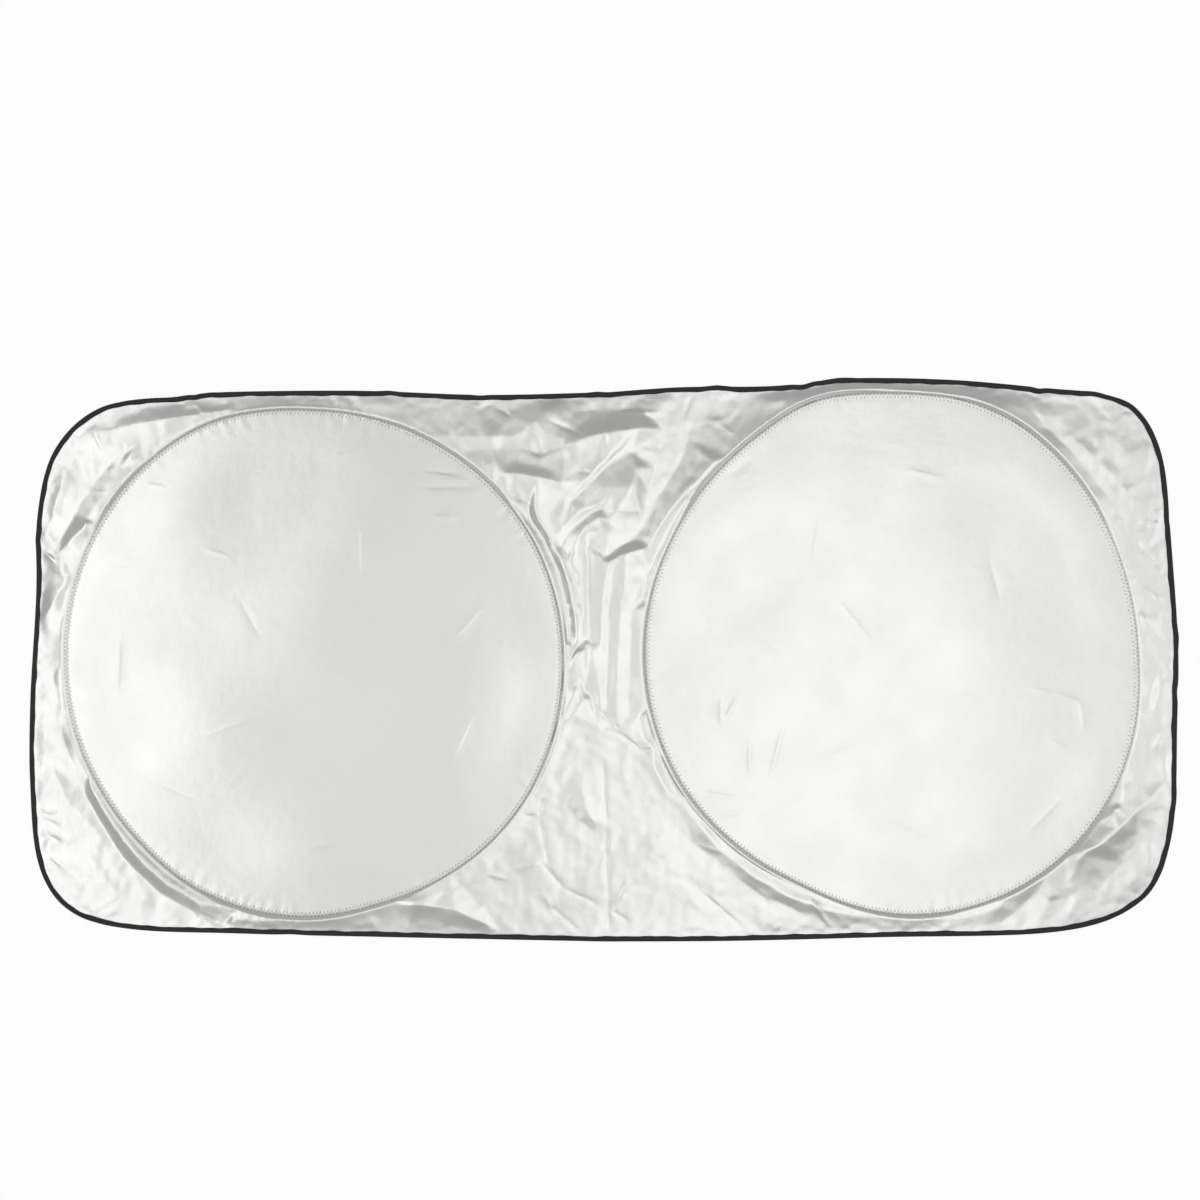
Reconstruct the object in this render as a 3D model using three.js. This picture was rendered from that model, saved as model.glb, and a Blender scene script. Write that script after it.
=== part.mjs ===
// Twist-fold windscreen sunshade: one oblong silver sheet with a black folded binding, and two
// spring steel hoops in folded cloth casings that are sewn to its back. It lies flat, silver face up.
// Millimetres. X runs along the sheet, Y across it, Z up. The origin is below the middle of the sheet.
import * as THREE from "three";

// Sheet
const SHEET_LENGTH = 1500;
const SHEET_WIDTH = 716;
const CLOTH_GAUGE = 0.4;
const GAP = 0.3;

// Strips of loose cloth that the hoops leave: at each end, along each long side, and between them
const END_STRIP = 50;
const SIDE_STRIP = 22;
const MIDDLE_STRIP = 113;

// Spring hoops: slightly oval rings of round wire, each joined at an angle by a crimped sleeve
const LEFT_HOOP_SHARE = 0.511;
const LEFT_HOOP_OFFSET = -2;
const RIGHT_HOOP_OFFSET = 11;
const LEFT_JOINT_ANGLE = -10;
const RIGHT_JOINT_ANGLE = 222;
const WIRE_DIAMETER = 2.2;
const WIRE_END_GAP = 1;
const WIRE_SECTIONS = 50;
const WIRE_SIDES = 6;
const SLEEVE_LENGTH = 28;
const SLEEVE_WALL = 0.4;
const SLEEVE_SIDES = 12;
const WIRE_EASE = 66;

// Casing of each hoop: a strip folded round the wire, whose two leaves are sewn to the sheet inside the
// hoop. The leaves reach inwards from the wire, and come together at their foot.
const CASING_REACH = 11;
const LEAF_FOOT = 4.5;
const CASING_EASE = 0.15;
const CASING_LEAD = 25;
const FOLD_ANGLES = [-90, -45, 0, 45, 90, 130];

// Ridge that the casing raises in the sheet, from foot to foot
const RIDGE_FOOT = 13;
const RIDGE_LEAD = 60;

// Binding: a tape folded over the edge
const BINDING_WIDTH = 8;
const BINDING_MARGIN = 1;
const TAPE_GAUGE = 0.5;
const EDGE_LIFT = 2.5;
const EDGE_WAVES = 9;

// Loose cloth round the hoops
const LOFT = 4.5;
const LOOSE_LEVEL = 0.7;
const LOWEST_CLOTH = 0.35;
const FOLD_RISE = 10;
const FOLD_WIDTH = 50;
const RING_EASE = 22;
const EDGE_EASE = 30;

// Mesh of the sheet: spokes from each hoop's middle out to the edge or to the midline between the hoops
const EDGE_STATIONS = 66;
const MIDLINE_STATIONS = 20;
const SURROUND_ROWS = 6;
const DISC_RING = 0.5;

// Edge of the sheet as shares of its half length and half width, from the top of the midline round each
// end: four corners of different roundness, and long sides that wave a little
const TOP_OF_MIDLINE = [0.019, 0.978];
const FOOT_OF_MIDLINE = [0.019, -1.022];
const LEFT_EDGE = [
  [-0.2, 0.972],
  [-0.42, 0.991],
  [-0.69, 0.987],
  [-0.74, 0.974],
  [-0.82, 0.963],
  [-0.88, 0.93],
  [-0.93, 0.853],
  [-0.966, 0.74],
  [-0.988, 0.528],
  [-0.99, 0.258],
  [-1, -0.152],
  [-1, -0.462],
  [-0.987, -0.742],
  [-0.957, -0.874],
  [-0.912, -0.947],
  [-0.83, -0.989],
  [-0.62, -1.004],
  [-0.29, -1.015],
];
const RIGHT_EDGE = [
  [0.25, -1.016],
  [0.5, -0.998],
  [0.79, -0.975],
  [0.878, -0.934],
  [0.93, -0.874],
  [0.962, -0.802],
  [0.99, -0.612],
  [0.998, -0.212],
  [1, 0.038],
  [0.986, 0.488],
  [0.977, 0.688],
  [0.96, 0.808],
  [0.928, 0.908],
  [0.88, 0.953],
  [0.77, 0.981],
  [0.62, 1.012],
  [0.43, 1.02],
  [0.32, 0.996],
  [0.15, 0.994],
];

// Folds of the loose cloth: a line in shares of the half length and half width, then the fold's rise (less
// than zero for a valley) and its width from foot to foot, as shares of those above
const FOLDS = [
  { line: [[-0.87, 0.57], [-0.94, 0.35], [-0.98, 0.14]], rise: 0.8, width: 0.92 },
  { line: [[-0.8, 0.62], [-0.86, 0.45], [-0.93, 0.22]], rise: -0.6, width: 0.8 },
  { line: [[-0.86, 0.86], [-0.69, 0.92]], rise: 0.5, width: 0.88 },
  { line: [[-0.89, 0.89], [-0.86, 0.73]], rise: 0.6, width: 1 },
  { line: [[-0.95, 0.38], [-0.98, 0.42]], rise: 0.5, width: 0.8 },
  { line: [[-0.27, 0.84], [-0.14, 0.84], [-0.07, 0.94]], rise: 0.7, width: 1.2 },
  { line: [[-0.26, 0.72], [-0.16, 0.62], [-0.06, 0.6]], rise: 0.8, width: 1.12 },
  { line: [[-0.1, 0.75], [0.02, 0.84], [0.06, 0.86]], rise: 0.6, width: 1.08 },
  { line: [[0.05, 0.8], [-0.04, 0.58]], rise: -0.7, width: 1.12 },
  { line: [[-0.09, 0.54], [-0.05, 0.36], [-0.04, 0.05]], rise: -0.5, width: 1 },
  { line: [[0.02, 0.5], [0.02, 0.3], [0.01, -0.18]], rise: 0.9, width: 0.84 },
  { line: [[0.06, 0.4], [0.045, 0.15], [0.035, -0.15]], rise: 0.7, width: 0.76 },
  { line: [[0.09, 0.45], [0.03, 0.37]], rise: -0.6, width: 0.8 },
  { line: [[0.19, 0.98], [0.16, 0.77], [0.08, 0.46]], rise: 0.9, width: 1.48 },
  { line: [[0.3, 0.96], [0.22, 0.86], [0.15, 0.63]], rise: -0.5, width: 1.04 },
  { line: [[0.01, -0.16], [0.08, -0.31]], rise: 0.7, width: 0.88 },
  { line: [[-0.06, -0.23], [-0.01, -0.13]], rise: 0.6, width: 0.8 },
  { line: [[-0.05, -0.43], [0.01, -0.63]], rise: -0.6, width: 0.92 },
  { line: [[-0.09, -0.48], [-0.09, -0.72], [-0.05, -0.82]], rise: 0.7, width: 1 },
  { line: [[0.1, -0.28], [0.13, -0.45], [0.2, -0.66]], rise: 0.8, width: 0.8 },
  { line: [[0.06, -0.66], [0.03, -0.9]], rise: 0.5, width: 1.2 },
  { line: [[0.02, -0.68], [0.02, -0.98]], rise: 0.4, width: 0.8 },
  { line: [[0.22, -0.84], [0.34, -0.92]], rise: 0.5, width: 1 },
  { line: [[-0.95, -0.27], [-0.88, -0.55], [-0.78, -0.78]], rise: 0.8, width: 0.88 },
  { line: [[-0.97, -0.5], [-0.92, -0.72], [-0.84, -0.87]], rise: -0.4, width: 0.8 },
  { line: [[-0.76, -0.84], [-0.6, -0.96]], rise: 0.4, width: 0.8 },
  { line: [[0.98, -0.4], [0.91, -0.57], [0.83, -0.68], [0.72, -0.8]], rise: 0.9, width: 1 },
  { line: [[0.95, -0.72], [0.84, -0.86]], rise: -0.5, width: 1.12 },
  { line: [[0.94, -0.1], [0.93, -0.28]], rise: 0.5, width: 0.72 },
  { line: [[0.72, 0.92], [0.8, 0.76], [0.9, 0.47], [0.96, 0.3]], rise: 0.8, width: 0.88 },
  { line: [[0.86, 0.76], [0.95, 0.54]], rise: 0.7, width: 0.88 },
  { line: [[0.84, 0.94], [0.88, 0.85], [0.92, 0.9]], rise: 0.6, width: 1 },
  { line: [[0.94, 0.14], [0.97, 0.1]], rise: 0.5, width: 0.72 },
];

// Levels that follow from the stack: lower leaf, wire or sleeve, upper leaf, sheet
const LEAF_LEVEL = CLOTH_GAUGE + GAP;
const DISC_LEVEL = LEAF_LEVEL + CLOTH_GAUGE + GAP;
const SLEEVE_RADIUS = WIRE_DIAMETER / 2 + GAP + SLEEVE_WALL;
const WIRE_LEVEL = CLOTH_GAUGE + GAP + WIRE_DIAMETER / 2;
const WIRE_LEVEL_IN_SLEEVE = CLOTH_GAUGE + GAP + SLEEVE_RADIUS;
const SHEET_IN_BINDING = TAPE_GAUGE + GAP;
const BINDING_HEIGHT = 2 * TAPE_GAUGE + 2 * GAP + CLOTH_GAUGE;
const INSET = BINDING_WIDTH + BINDING_MARGIN;
const RIDGE_TOP = 2 * SLEEVE_RADIUS;
const LOOP_RADIUS = WIRE_DIAMETER / 2 + GAP + CASING_EASE;
const LOOP_RADIUS_AT_SLEEVE = SLEEVE_RADIUS + GAP + CASING_EASE;

// The hoops fill what the strips leave of the sheet
const HOOPS_LENGTH = SHEET_LENGTH - 2 * END_STRIP - MIDDLE_STRIP;
const HOOPS = {
  left: hoopOf(-1, LEFT_HOOP_SHARE, LEFT_HOOP_OFFSET, LEFT_JOINT_ANGLE),
  right: hoopOf(1, 1 - LEFT_HOOP_SHARE, RIGHT_HOOP_OFFSET, RIGHT_JOINT_ANGLE),
};

const silverCloth = new THREE.MeshStandardMaterial({ color: 0xc9cac8, roughness: 0.42, metalness: 0.6 });
const blackTape = new THREE.MeshStandardMaterial({ color: 0x17171a, roughness: 0.85, metalness: 0 });
const springSteel = new THREE.MeshStandardMaterial({ color: 0x8d9094, roughness: 0.35, metalness: 1 });

function hoopOf(side, share, offset, jointAngle) {
  const halfLength = (share * HOOPS_LENGTH) / 2;
  const halfWidth = SHEET_WIDTH / 2 - SIDE_STRIP;
  const x = side * (SHEET_LENGTH / 2 - END_STRIP - halfLength);
  return { x, y: offset, halfLength, halfWidth, joint: THREE.MathUtils.degToRad(jointAngle) };
}

function smoothStep(share) {
  const t = THREE.MathUtils.clamp(share, 0, 1);
  return t * t * (3 - 2 * t);
}

// A closed body through a run of sections with as many points each. A looped run meets its own start,
// and an open one is closed by a flat cap at each end.
function loft(sections, looped) {
  const side = sections[0].length;
  const position = sections.flat().flatMap((point) => [point.x, point.y, point.z]);
  const index = [];
  const spans = looped ? sections.length : sections.length - 1;
  for (let i = 0; i < spans; i += 1) {
    const here = i * side;
    const next = ((i + 1) % sections.length) * side;
    for (let j = 0; j < side; j += 1) {
      const k = (j + 1) % side;
      index.push(here + j, next + j, next + k);
      index.push(here + j, next + k, here + k);
    }
  }
  if (!looped) {
    const last = (sections.length - 1) * side;
    for (let j = 1; j < side - 1; j += 1) {
      index.push(0, j, j + 1);
      index.push(last, last + j + 1, last + j);
    }
  }
  return facingOut(position, index);
}

// Geometry from vertices and triangles, turned so that its faces point outwards.
function facingOut(position, index) {
  const corner = (n) => new THREE.Vector3().fromArray(position, 3 * n);
  let sixVolumes = 0;
  for (let i = 0; i < index.length; i += 3) {
    const across = corner(index[i + 1]).cross(corner(index[i + 2]));
    sixVolumes += corner(index[i]).dot(across);
  }
  const geometry = new THREE.BufferGeometry();
  geometry.setAttribute("position", new THREE.Float32BufferAttribute(position, 3));
  geometry.setIndex(sixVolumes < 0 ? index.slice().reverse() : index);
  geometry.computeVertexNormals();
  return geometry;
}

// The point of a hoop's ring at an angle, moved outwards in the sheet's plane.
function ringPoint(hoop, angle, outwards = 0) {
  const x = hoop.x + (hoop.halfLength + outwards) * Math.cos(angle);
  const y = hoop.y + (hoop.halfWidth + outwards) * Math.sin(angle);
  return new THREE.Vector2(x, y);
}

// How far a point lies outside a hoop's ring, and the angle of its spoke.
function fromRing(hoop, x, y) {
  const across = (x - hoop.x) / hoop.halfLength;
  const along = (y - hoop.y) / hoop.halfWidth;
  const reach = Math.hypot(across, along);
  const radius = (hoop.halfLength + hoop.halfWidth) / 2;
  return { outside: (reach - 1) * radius, angle: Math.atan2(along, across) };
}

// 1 over the crimp sleeve and as far as a lead beyond it, easing to 0 along the wire on either side.
function nearSleeve(hoop, angle, lead) {
  const turn = angle - hoop.joint;
  const nearest = Math.abs(Math.atan2(Math.sin(turn), Math.cos(turn)));
  const along = (nearest * (hoop.halfLength + hoop.halfWidth)) / 2;
  return 1 - smoothStep((along - SLEEVE_LENGTH / 2 - lead) / WIRE_EASE);
}

function wireLevel(hoop, angle) {
  const share = nearSleeve(hoop, angle, 0);
  return THREE.MathUtils.lerp(WIRE_LEVEL, WIRE_LEVEL_IN_SLEEVE, share);
}

// Inner radius of the casing's loop round the wire or its sleeve.
function loopRadius(hoop, angle, lead) {
  return THREE.MathUtils.lerp(LOOP_RADIUS, LOOP_RADIUS_AT_SLEEVE, nearSleeve(hoop, angle, lead));
}

// Underside of the sheet where it passes over the casing's loop.
function ridgeLevel(hoop, angle) {
  return 2 * (loopRadius(hoop, angle, RIDGE_LEAD) + CLOTH_GAUGE) + GAP;
}

// Sheet edge
function placed([alongShare, acrossShare]) {
  return new THREE.Vector3((alongShare * SHEET_LENGTH) / 2, (acrossShare * SHEET_WIDTH) / 2, 0);
}

function edgeStations(points) {
  const curve = new THREE.CatmullRomCurve3(points.map(placed), false, "centripetal");
  return curve.getSpacedPoints(EDGE_STATIONS).map((point) => new THREE.Vector2(point.x, point.y));
}

const leftStations = edgeStations([TOP_OF_MIDLINE, ...LEFT_EDGE, FOOT_OF_MIDLINE]);
const rightStations = edgeStations([FOOT_OF_MIDLINE, ...RIGHT_EDGE, TOP_OF_MIDLINE]);
const outline = [...leftStations.slice(0, -1), ...rightStations.slice(0, -1)];

// Unit vector into the sheet at a station of the outline, which runs anticlockwise.
function inwardAt(station) {
  const before = outline[(station + outline.length - 1) % outline.length];
  const after = outline[(station + 1) % outline.length];
  return new THREE.Vector2(before.y - after.y, after.x - before.x).normalize();
}

function insetPoint(station, depth) {
  return outline[station].clone().addScaledVector(inwardAt(station), depth);
}

// The edge rises and falls a little where the cloth doesn't lie flat.
function edgeLevel(station) {
  const turn = (2 * Math.PI * EDGE_WAVES * station) / outline.length;
  return (EDGE_LIFT * (1 - Math.cos(turn))) / 2;
}

function segmentDistance(x, y, from, to) {
  const run = { x: to.x - from.x, y: to.y - from.y };
  const length = run.x * run.x + run.y * run.y;
  const share = THREE.MathUtils.clamp(((x - from.x) * run.x + (y - from.y) * run.y) / length, 0, 1);
  return Math.hypot(x - from.x - share * run.x, y - from.y - share * run.y);
}

function edgeDistance(x, y) {
  const toNext = (from, i) => segmentDistance(x, y, from, outline[(i + 1) % outline.length]);
  return Math.min(...outline.map(toNext));
}

const foldLines = FOLDS.map(({ line, rise, width }) => {
  return { points: line.map(placed), rise: rise * FOLD_RISE, width: width * FOLD_WIDTH };
});

function foldRise(x, y) {
  let total = 0;
  for (const { points, rise, width } of foldLines) {
    let nearest = Infinity;
    for (let i = 1; i < points.length; i += 1) {
      nearest = Math.min(nearest, segmentDistance(x, y, points[i - 1], points[i]));
    }
    total += rise * (1 - smoothStep((2 * nearest) / width));
  }
  return total;
}

// Underside of the loose cloth: low beside the hoops and at the binding, lofted and folded between them.
function surroundLevel(x, y) {
  const beside = Math.min(...Object.values(HOOPS).map((hoop) => fromRing(hoop, x, y).outside));
  const ease = smoothStep((beside - RIDGE_FOOT / 2) / RING_EASE);
  const inside = smoothStep((edgeDistance(x, y) - INSET) / EDGE_EASE);
  const level = LOOSE_LEVEL + ease * (LOFT * inside + foldRise(x, y) * inside);
  return Math.max(level, LOWEST_CLOTH);
}

// The midline between the hoops, from the foot of the sheet up: both halves of the sheet share it.
function midlinePoints() {
  const foot = insetPoint(EDGE_STATIONS, INSET);
  const top = insetPoint(0, INSET);
  const steps = MIDLINE_STATIONS - 2;
  const points = [];
  for (let i = 0; i <= steps; i += 1) {
    points.push(foot.clone().lerp(top, i / steps));
  }
  return points;
}

// One spoke of the sheet from a hoop's middle to its end: a list of points with the underside's level.
function spoke(hoop, end) {
  const { angle } = fromRing(hoop, end.point.x, end.point.y);
  const crest = ridgeLevel(hoop, angle);
  const inDisc = ringPoint(hoop, angle).sub(hoop).multiplyScalar(DISC_RING).add(hoop);
  const column = [{ point: inDisc, level: DISC_LEVEL }];
  column.push({ point: ringPoint(hoop, angle, -RIDGE_FOOT / 2), level: DISC_LEVEL });
  column.push({ point: ringPoint(hoop, angle, -RIDGE_TOP / 2), level: crest });
  column.push({ point: ringPoint(hoop, angle, RIDGE_TOP / 2), level: crest });
  const foot = ringPoint(hoop, angle, RIDGE_FOOT / 2);
  column.push({ point: foot, level: LOOSE_LEVEL });
  const rows = end.inset ? SURROUND_ROWS - 1 : SURROUND_ROWS;
  const reach = end.inset ?? end.point;
  for (let row = 1; row < rows; row += 1) {
    const point = foot.clone().lerp(reach, row / rows);
    column.push({ point, level: surroundLevel(point.x, point.y) });
  }
  if (end.inset) {
    column.push({ point: end.inset, level: end.level });
  }
  column.push({ point: end.point, level: end.level });
  return column;
}

// Ends of a half's spokes: stations of the outline, then the midline.
function spokeEnds(hoop, first, midline) {
  const ends = [];
  for (let i = 0; i <= EDGE_STATIONS; i += 1) {
    const station = (first + i) % outline.length;
    const point = insetPoint(station, SHEET_IN_BINDING);
    let inset = insetPoint(station, INSET);
    if (i === 0 || i === EDGE_STATIONS) {
      const towardsHoop = new THREE.Vector2(hoop.x, hoop.y).sub(point).normalize();
      const slant = towardsHoop.dot(inwardAt(station));
      inset = point.clone().addScaledVector(towardsHoop, (INSET - SHEET_IN_BINDING) / slant);
    }
    ends.push({ point, inset, level: SHEET_IN_BINDING + edgeLevel(station) });
  }
  return [...ends, ...midline];
}

// Two triangles of a four-sided patch, cut along its shorter diagonal.
function cutAcross(vertices, a, b, c, d) {
  const apart = (p, q) => Math.hypot(vertices[p][0] - vertices[q][0], vertices[p][1] - vertices[q][1]);
  if (apart(a, c) < apart(b, d)) {
    return [[a, b, c], [a, c, d]];
  }
  return [[a, b, d], [b, c, d]];
}

// The sheet is one closed body: two faces a gauge apart, joined round the edge.
function shadePanel() {
  const midline = midlinePoints().map((point, i, all) => {
    const atEnd = i === 0 || i === all.length - 1;
    const station = i === 0 ? EDGE_STATIONS : 0;
    const level = atEnd ? SHEET_IN_BINDING + edgeLevel(station) : surroundLevel(point.x, point.y);
    return { point, level };
  });
  const upwards = spokeEnds(HOOPS.left, 0, midline);
  const downwards = spokeEnds(HOOPS.right, EDGE_STATIONS, midline.slice().reverse());
  const vertices = [];
  const known = new Map();
  const vertex = ({ point, level }) => {
    const key = `${point.x.toFixed(3)} ${point.y.toFixed(3)}`;
    if (!known.has(key)) {
      known.set(key, vertices.length);
      vertices.push([point.x, point.y, level]);
    }
    return known.get(key);
  };
  const faces = [];
  for (const [hoop, ends] of [[HOOPS.left, upwards], [HOOPS.right, downwards]]) {
    const middle = vertex({ point: new THREE.Vector2(hoop.x, hoop.y), level: DISC_LEVEL });
    const columns = ends.map((end) => spoke(hoop, end).map(vertex));
    columns.forEach((column, i) => {
      const next = columns[(i + 1) % columns.length];
      faces.push([middle, column[0], next[0]]);
      for (let row = 1; row < column.length; row += 1) {
        faces.push(...cutAcross(vertices, column[row - 1], column[row], next[row], next[row - 1]));
      }
    });
  }
  const count = vertices.length;
  const position = [];
  for (const lift of [CLOTH_GAUGE, 0]) {
    for (const [x, y, level] of vertices) {
      position.push(x, y, level + lift);
    }
  }
  const index = [];
  for (const [a, b, c] of faces) {
    index.push(a, b, c);
    index.push(count + a, count + c, count + b);
  }
  const rim = outline.map((_, station) => {
    return vertex({ point: insetPoint(station, SHEET_IN_BINDING), level: 0 });
  });
  rim.forEach((a, i) => {
    const b = rim[(i + 1) % rim.length];
    index.push(a, count + a, count + b);
    index.push(a, count + b, b);
  });
  return facingOut(position, index);
}

// The tape wraps the edge: a lower leaf, the fold outside the sheet's edge, and an upper leaf.
function edgeBinding() {
  const section = [
    [0, 0],
    [BINDING_WIDTH, 0],
    [BINDING_WIDTH, TAPE_GAUGE],
    [TAPE_GAUGE, TAPE_GAUGE],
    [TAPE_GAUGE, BINDING_HEIGHT - TAPE_GAUGE],
    [BINDING_WIDTH, BINDING_HEIGHT - TAPE_GAUGE],
    [BINDING_WIDTH, BINDING_HEIGHT],
    [0, BINDING_HEIGHT],
  ];
  const sections = outline.map((_, station) => {
    return section.map(([depth, height]) => {
      const point = insetPoint(station, depth);
      return new THREE.Vector3(point.x, point.y, height + edgeLevel(station));
    });
  });
  return loft(sections, true);
}

// Angles of the sections of a wire and its casing, from the end of the sleeve round to its other end.
function sectionAngles(hoop) {
  const sleeve = hoopAngle(hoop, SLEEVE_LENGTH / 2);
  const angles = [];
  for (let i = 0; i <= WIRE_SECTIONS; i += 1) {
    const share = i / WIRE_SECTIONS;
    angles.push(hoop.joint + THREE.MathUtils.lerp(sleeve, 2 * Math.PI - sleeve, share));
  }
  return angles;
}

// A point beside the wire's centre line, at a radius and an angle round it.
function besideWire(hoop, angle, radius, around) {
  const point = ringPoint(hoop, angle, radius * Math.cos(around));
  return new THREE.Vector3(point.x, point.y, wireLevel(hoop, angle) + radius * Math.sin(around));
}

function hoopAngle(hoop, length) {
  return (2 * length) / (hoop.halfLength + hoop.halfWidth);
}

function hoopWire(hoop) {
  const { joint } = hoop;
  const gap = hoopAngle(hoop, WIRE_END_GAP / 2);
  const angles = [joint + gap, ...sectionAngles(hoop), joint + 2 * Math.PI - gap];
  const sections = angles.map((angle) => {
    const section = [];
    for (let side = 0; side < WIRE_SIDES; side += 1) {
      section.push(besideWire(hoop, angle, WIRE_DIAMETER / 2, (2 * Math.PI * side) / WIRE_SIDES));
    }
    return section;
  });
  return loft(sections, false);
}

// The crimp sleeve: a short tube, open at both ends, round the two ends of the wire.
function hoopSleeve(hoop) {
  const { joint } = hoop;
  const half = hoopAngle(hoop, SLEEVE_LENGTH / 2);
  const gap = hoopAngle(hoop, WIRE_END_GAP / 2);
  const along = [-half, -gap, gap, half];
  const bore = SLEEVE_RADIUS - SLEEVE_WALL;
  const sections = [];
  for (let side = 0; side < SLEEVE_SIDES; side += 1) {
    const around = (2 * Math.PI * side) / SLEEVE_SIDES;
    const outer = along.map((step) => besideWire(hoop, joint + step, SLEEVE_RADIUS, around));
    const inner = along.map((step) => besideWire(hoop, joint + step, bore, around)).reverse();
    sections.push([...outer, ...inner]);
  }
  return loft(sections, true);
}

// The casing: a lower leaf on what the shade lies on, the fold round the wire, and an upper leaf.
function hoopCasing(hoop) {
  const sections = [hoop.joint, ...sectionAngles(hoop)].map((angle) => {
    const radius = loopRadius(hoop, angle, CASING_LEAD);
    const at = (outwards, level) => {
      const point = ringPoint(hoop, angle, outwards);
      return new THREE.Vector3(point.x, point.y, level);
    };
    const fold = (reach) => FOLD_ANGLES.map(THREE.MathUtils.degToRad).map((turn) => {
      return at(reach * Math.cos(turn), CLOTH_GAUGE + radius + reach * Math.sin(turn));
    });
    return [
      at(-CASING_REACH, 0),
      ...fold(radius + CLOTH_GAUGE),
      at(-LEAF_FOOT - CLOTH_GAUGE / 3, LEAF_LEVEL + CLOTH_GAUGE),
      at(-CASING_REACH, LEAF_LEVEL + CLOTH_GAUGE),
      at(-CASING_REACH, LEAF_LEVEL),
      at(-LEAF_FOOT, LEAF_LEVEL),
      ...fold(radius).reverse(),
      at(-CASING_REACH, CLOTH_GAUGE),
    ];
  });
  return loft(sections, true);
}

const sunshade = new THREE.Group();

function addPiece(name, geometry, material) {
  const mesh = new THREE.Mesh(geometry, material);
  mesh.name = name;
  sunshade.add(mesh);
}

addPiece("shade_panel", shadePanel(), silverCloth);
addPiece("edge_binding", edgeBinding(), blackTape);
for (const [side, hoop] of Object.entries(HOOPS)) {
  addPiece(`hoop_wire_${side}`, hoopWire(hoop), springSteel);
  addPiece(`hoop_sleeve_${side}`, hoopSleeve(hoop), springSteel);
  addPiece(`hoop_casing_${side}`, hoopCasing(hoop), silverCloth);
}

export default sunshade;
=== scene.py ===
"""Looks of a twist-fold windscreen sunshade: one silver cloth sheet bound with black tape, lying flat with
its silver face up, and two spring steel hoops that are sewn to its back in cloth strips.

Sizes are in millimetres, and meshes are made in metres."""

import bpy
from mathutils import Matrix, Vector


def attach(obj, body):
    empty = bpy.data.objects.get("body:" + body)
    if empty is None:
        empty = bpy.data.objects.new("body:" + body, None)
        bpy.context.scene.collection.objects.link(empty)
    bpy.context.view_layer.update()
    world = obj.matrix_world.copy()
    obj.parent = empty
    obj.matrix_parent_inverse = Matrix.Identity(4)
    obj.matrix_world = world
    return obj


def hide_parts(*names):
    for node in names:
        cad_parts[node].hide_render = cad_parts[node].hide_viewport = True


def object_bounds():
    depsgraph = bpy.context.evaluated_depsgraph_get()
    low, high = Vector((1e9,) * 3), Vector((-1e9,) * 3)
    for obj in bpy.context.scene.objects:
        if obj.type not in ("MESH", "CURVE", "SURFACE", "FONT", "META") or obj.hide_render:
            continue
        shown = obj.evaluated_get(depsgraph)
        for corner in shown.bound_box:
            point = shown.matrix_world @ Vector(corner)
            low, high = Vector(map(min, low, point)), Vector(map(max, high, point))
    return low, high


bl_info = {
    "name": "Windscreen sunshade",
    "version": (1, 0, 0),
    "blender": (4, 5, 0),
    "location": "View3D > Sidebar > Sunshade",
    "description": "Models the cloth, tape, hoops and stitching of a two-hoop windscreen sunshade",
    "category": "Object",
}

import math

import bpy
import numpy as np
from mathutils import Vector, bvhtree, geometry, kdtree

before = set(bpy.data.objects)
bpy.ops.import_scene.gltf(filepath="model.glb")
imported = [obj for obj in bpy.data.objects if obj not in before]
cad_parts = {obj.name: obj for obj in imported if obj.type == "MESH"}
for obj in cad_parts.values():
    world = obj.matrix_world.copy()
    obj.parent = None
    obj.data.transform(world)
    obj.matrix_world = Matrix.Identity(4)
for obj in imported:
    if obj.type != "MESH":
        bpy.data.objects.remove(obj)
CAD_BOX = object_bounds()

MM = 0.001
BODY = "root"
HALF = np.array([CAD_BOX[1][0] - CAD_BOX[0][0], CAD_BOX[1][1] - CAD_BOX[0][1]]) / MM / 2

# Camera: it looks straight down on the sheet from a little to the right, as far as the photograph's
# narrowing towards the left says. The principal point is in pixels of the 1200 pixel picture.
CAMERA_DISTANCE = 3.0
CAMERA_YAW = 4.0
CAMERA_AIM_Y = -4.2
PICTURE_SIDE = 1200
FOCAL_PIXELS = 2298.9
PRINCIPAL_POINT = (594.5, 664.0)
SENSOR_WIDTH = 36.0

# Softboxes, in metres and watts: the middle of each, its two sides and its power
SOFTBOXES = {
    "left_softbox": ((-1.75, -0.1, 3.05), (0.95, 3.0), 18.5),
    "right_softbox": ((2.4, -0.1, 3.05), (1.4, 2.6), 16),
    "overhead_softbox": ((0.35, -0.2, 3.05), (1.5, 2.4), 15),
}
FLOOR_SIDE = 60
FLOOR_LEVEL = -0.0002

# The sheet's fine mesh: rows of points along its edge, by their depth from it, rows round the hoops, by how
# far they lie outside the wire, and the spacings between points
EDGE_STEP = 5.2
EDGE_ROWS = (0.0, 2.6, 5.2, 7.8, 11.0)
RING_STEP = 5.0
RING_ROWS = (-19, -14.5, -11.5, -9.3, -7, -5.3, -4.1, -3, -2, -1, 0, 1, 2, 3, 4.2, 6, 8.5)
SURROUND_STEP = 4.05
DISC_STEP = 12.0

# Heights of the sheet's underside: in the tape, on the discs, over the wires and their sleeves, and where
# the loose cloth meets a hoop
SHEET_IN_TAPE = 0.8
DISC_LEVEL = 1.4
CREST_LEVEL = 4.2
SLEEVE_CREST = 1.4
CASING_TOP = 1.12
FOOT_LEVEL = 3.7
LOWEST = 0.3

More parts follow.
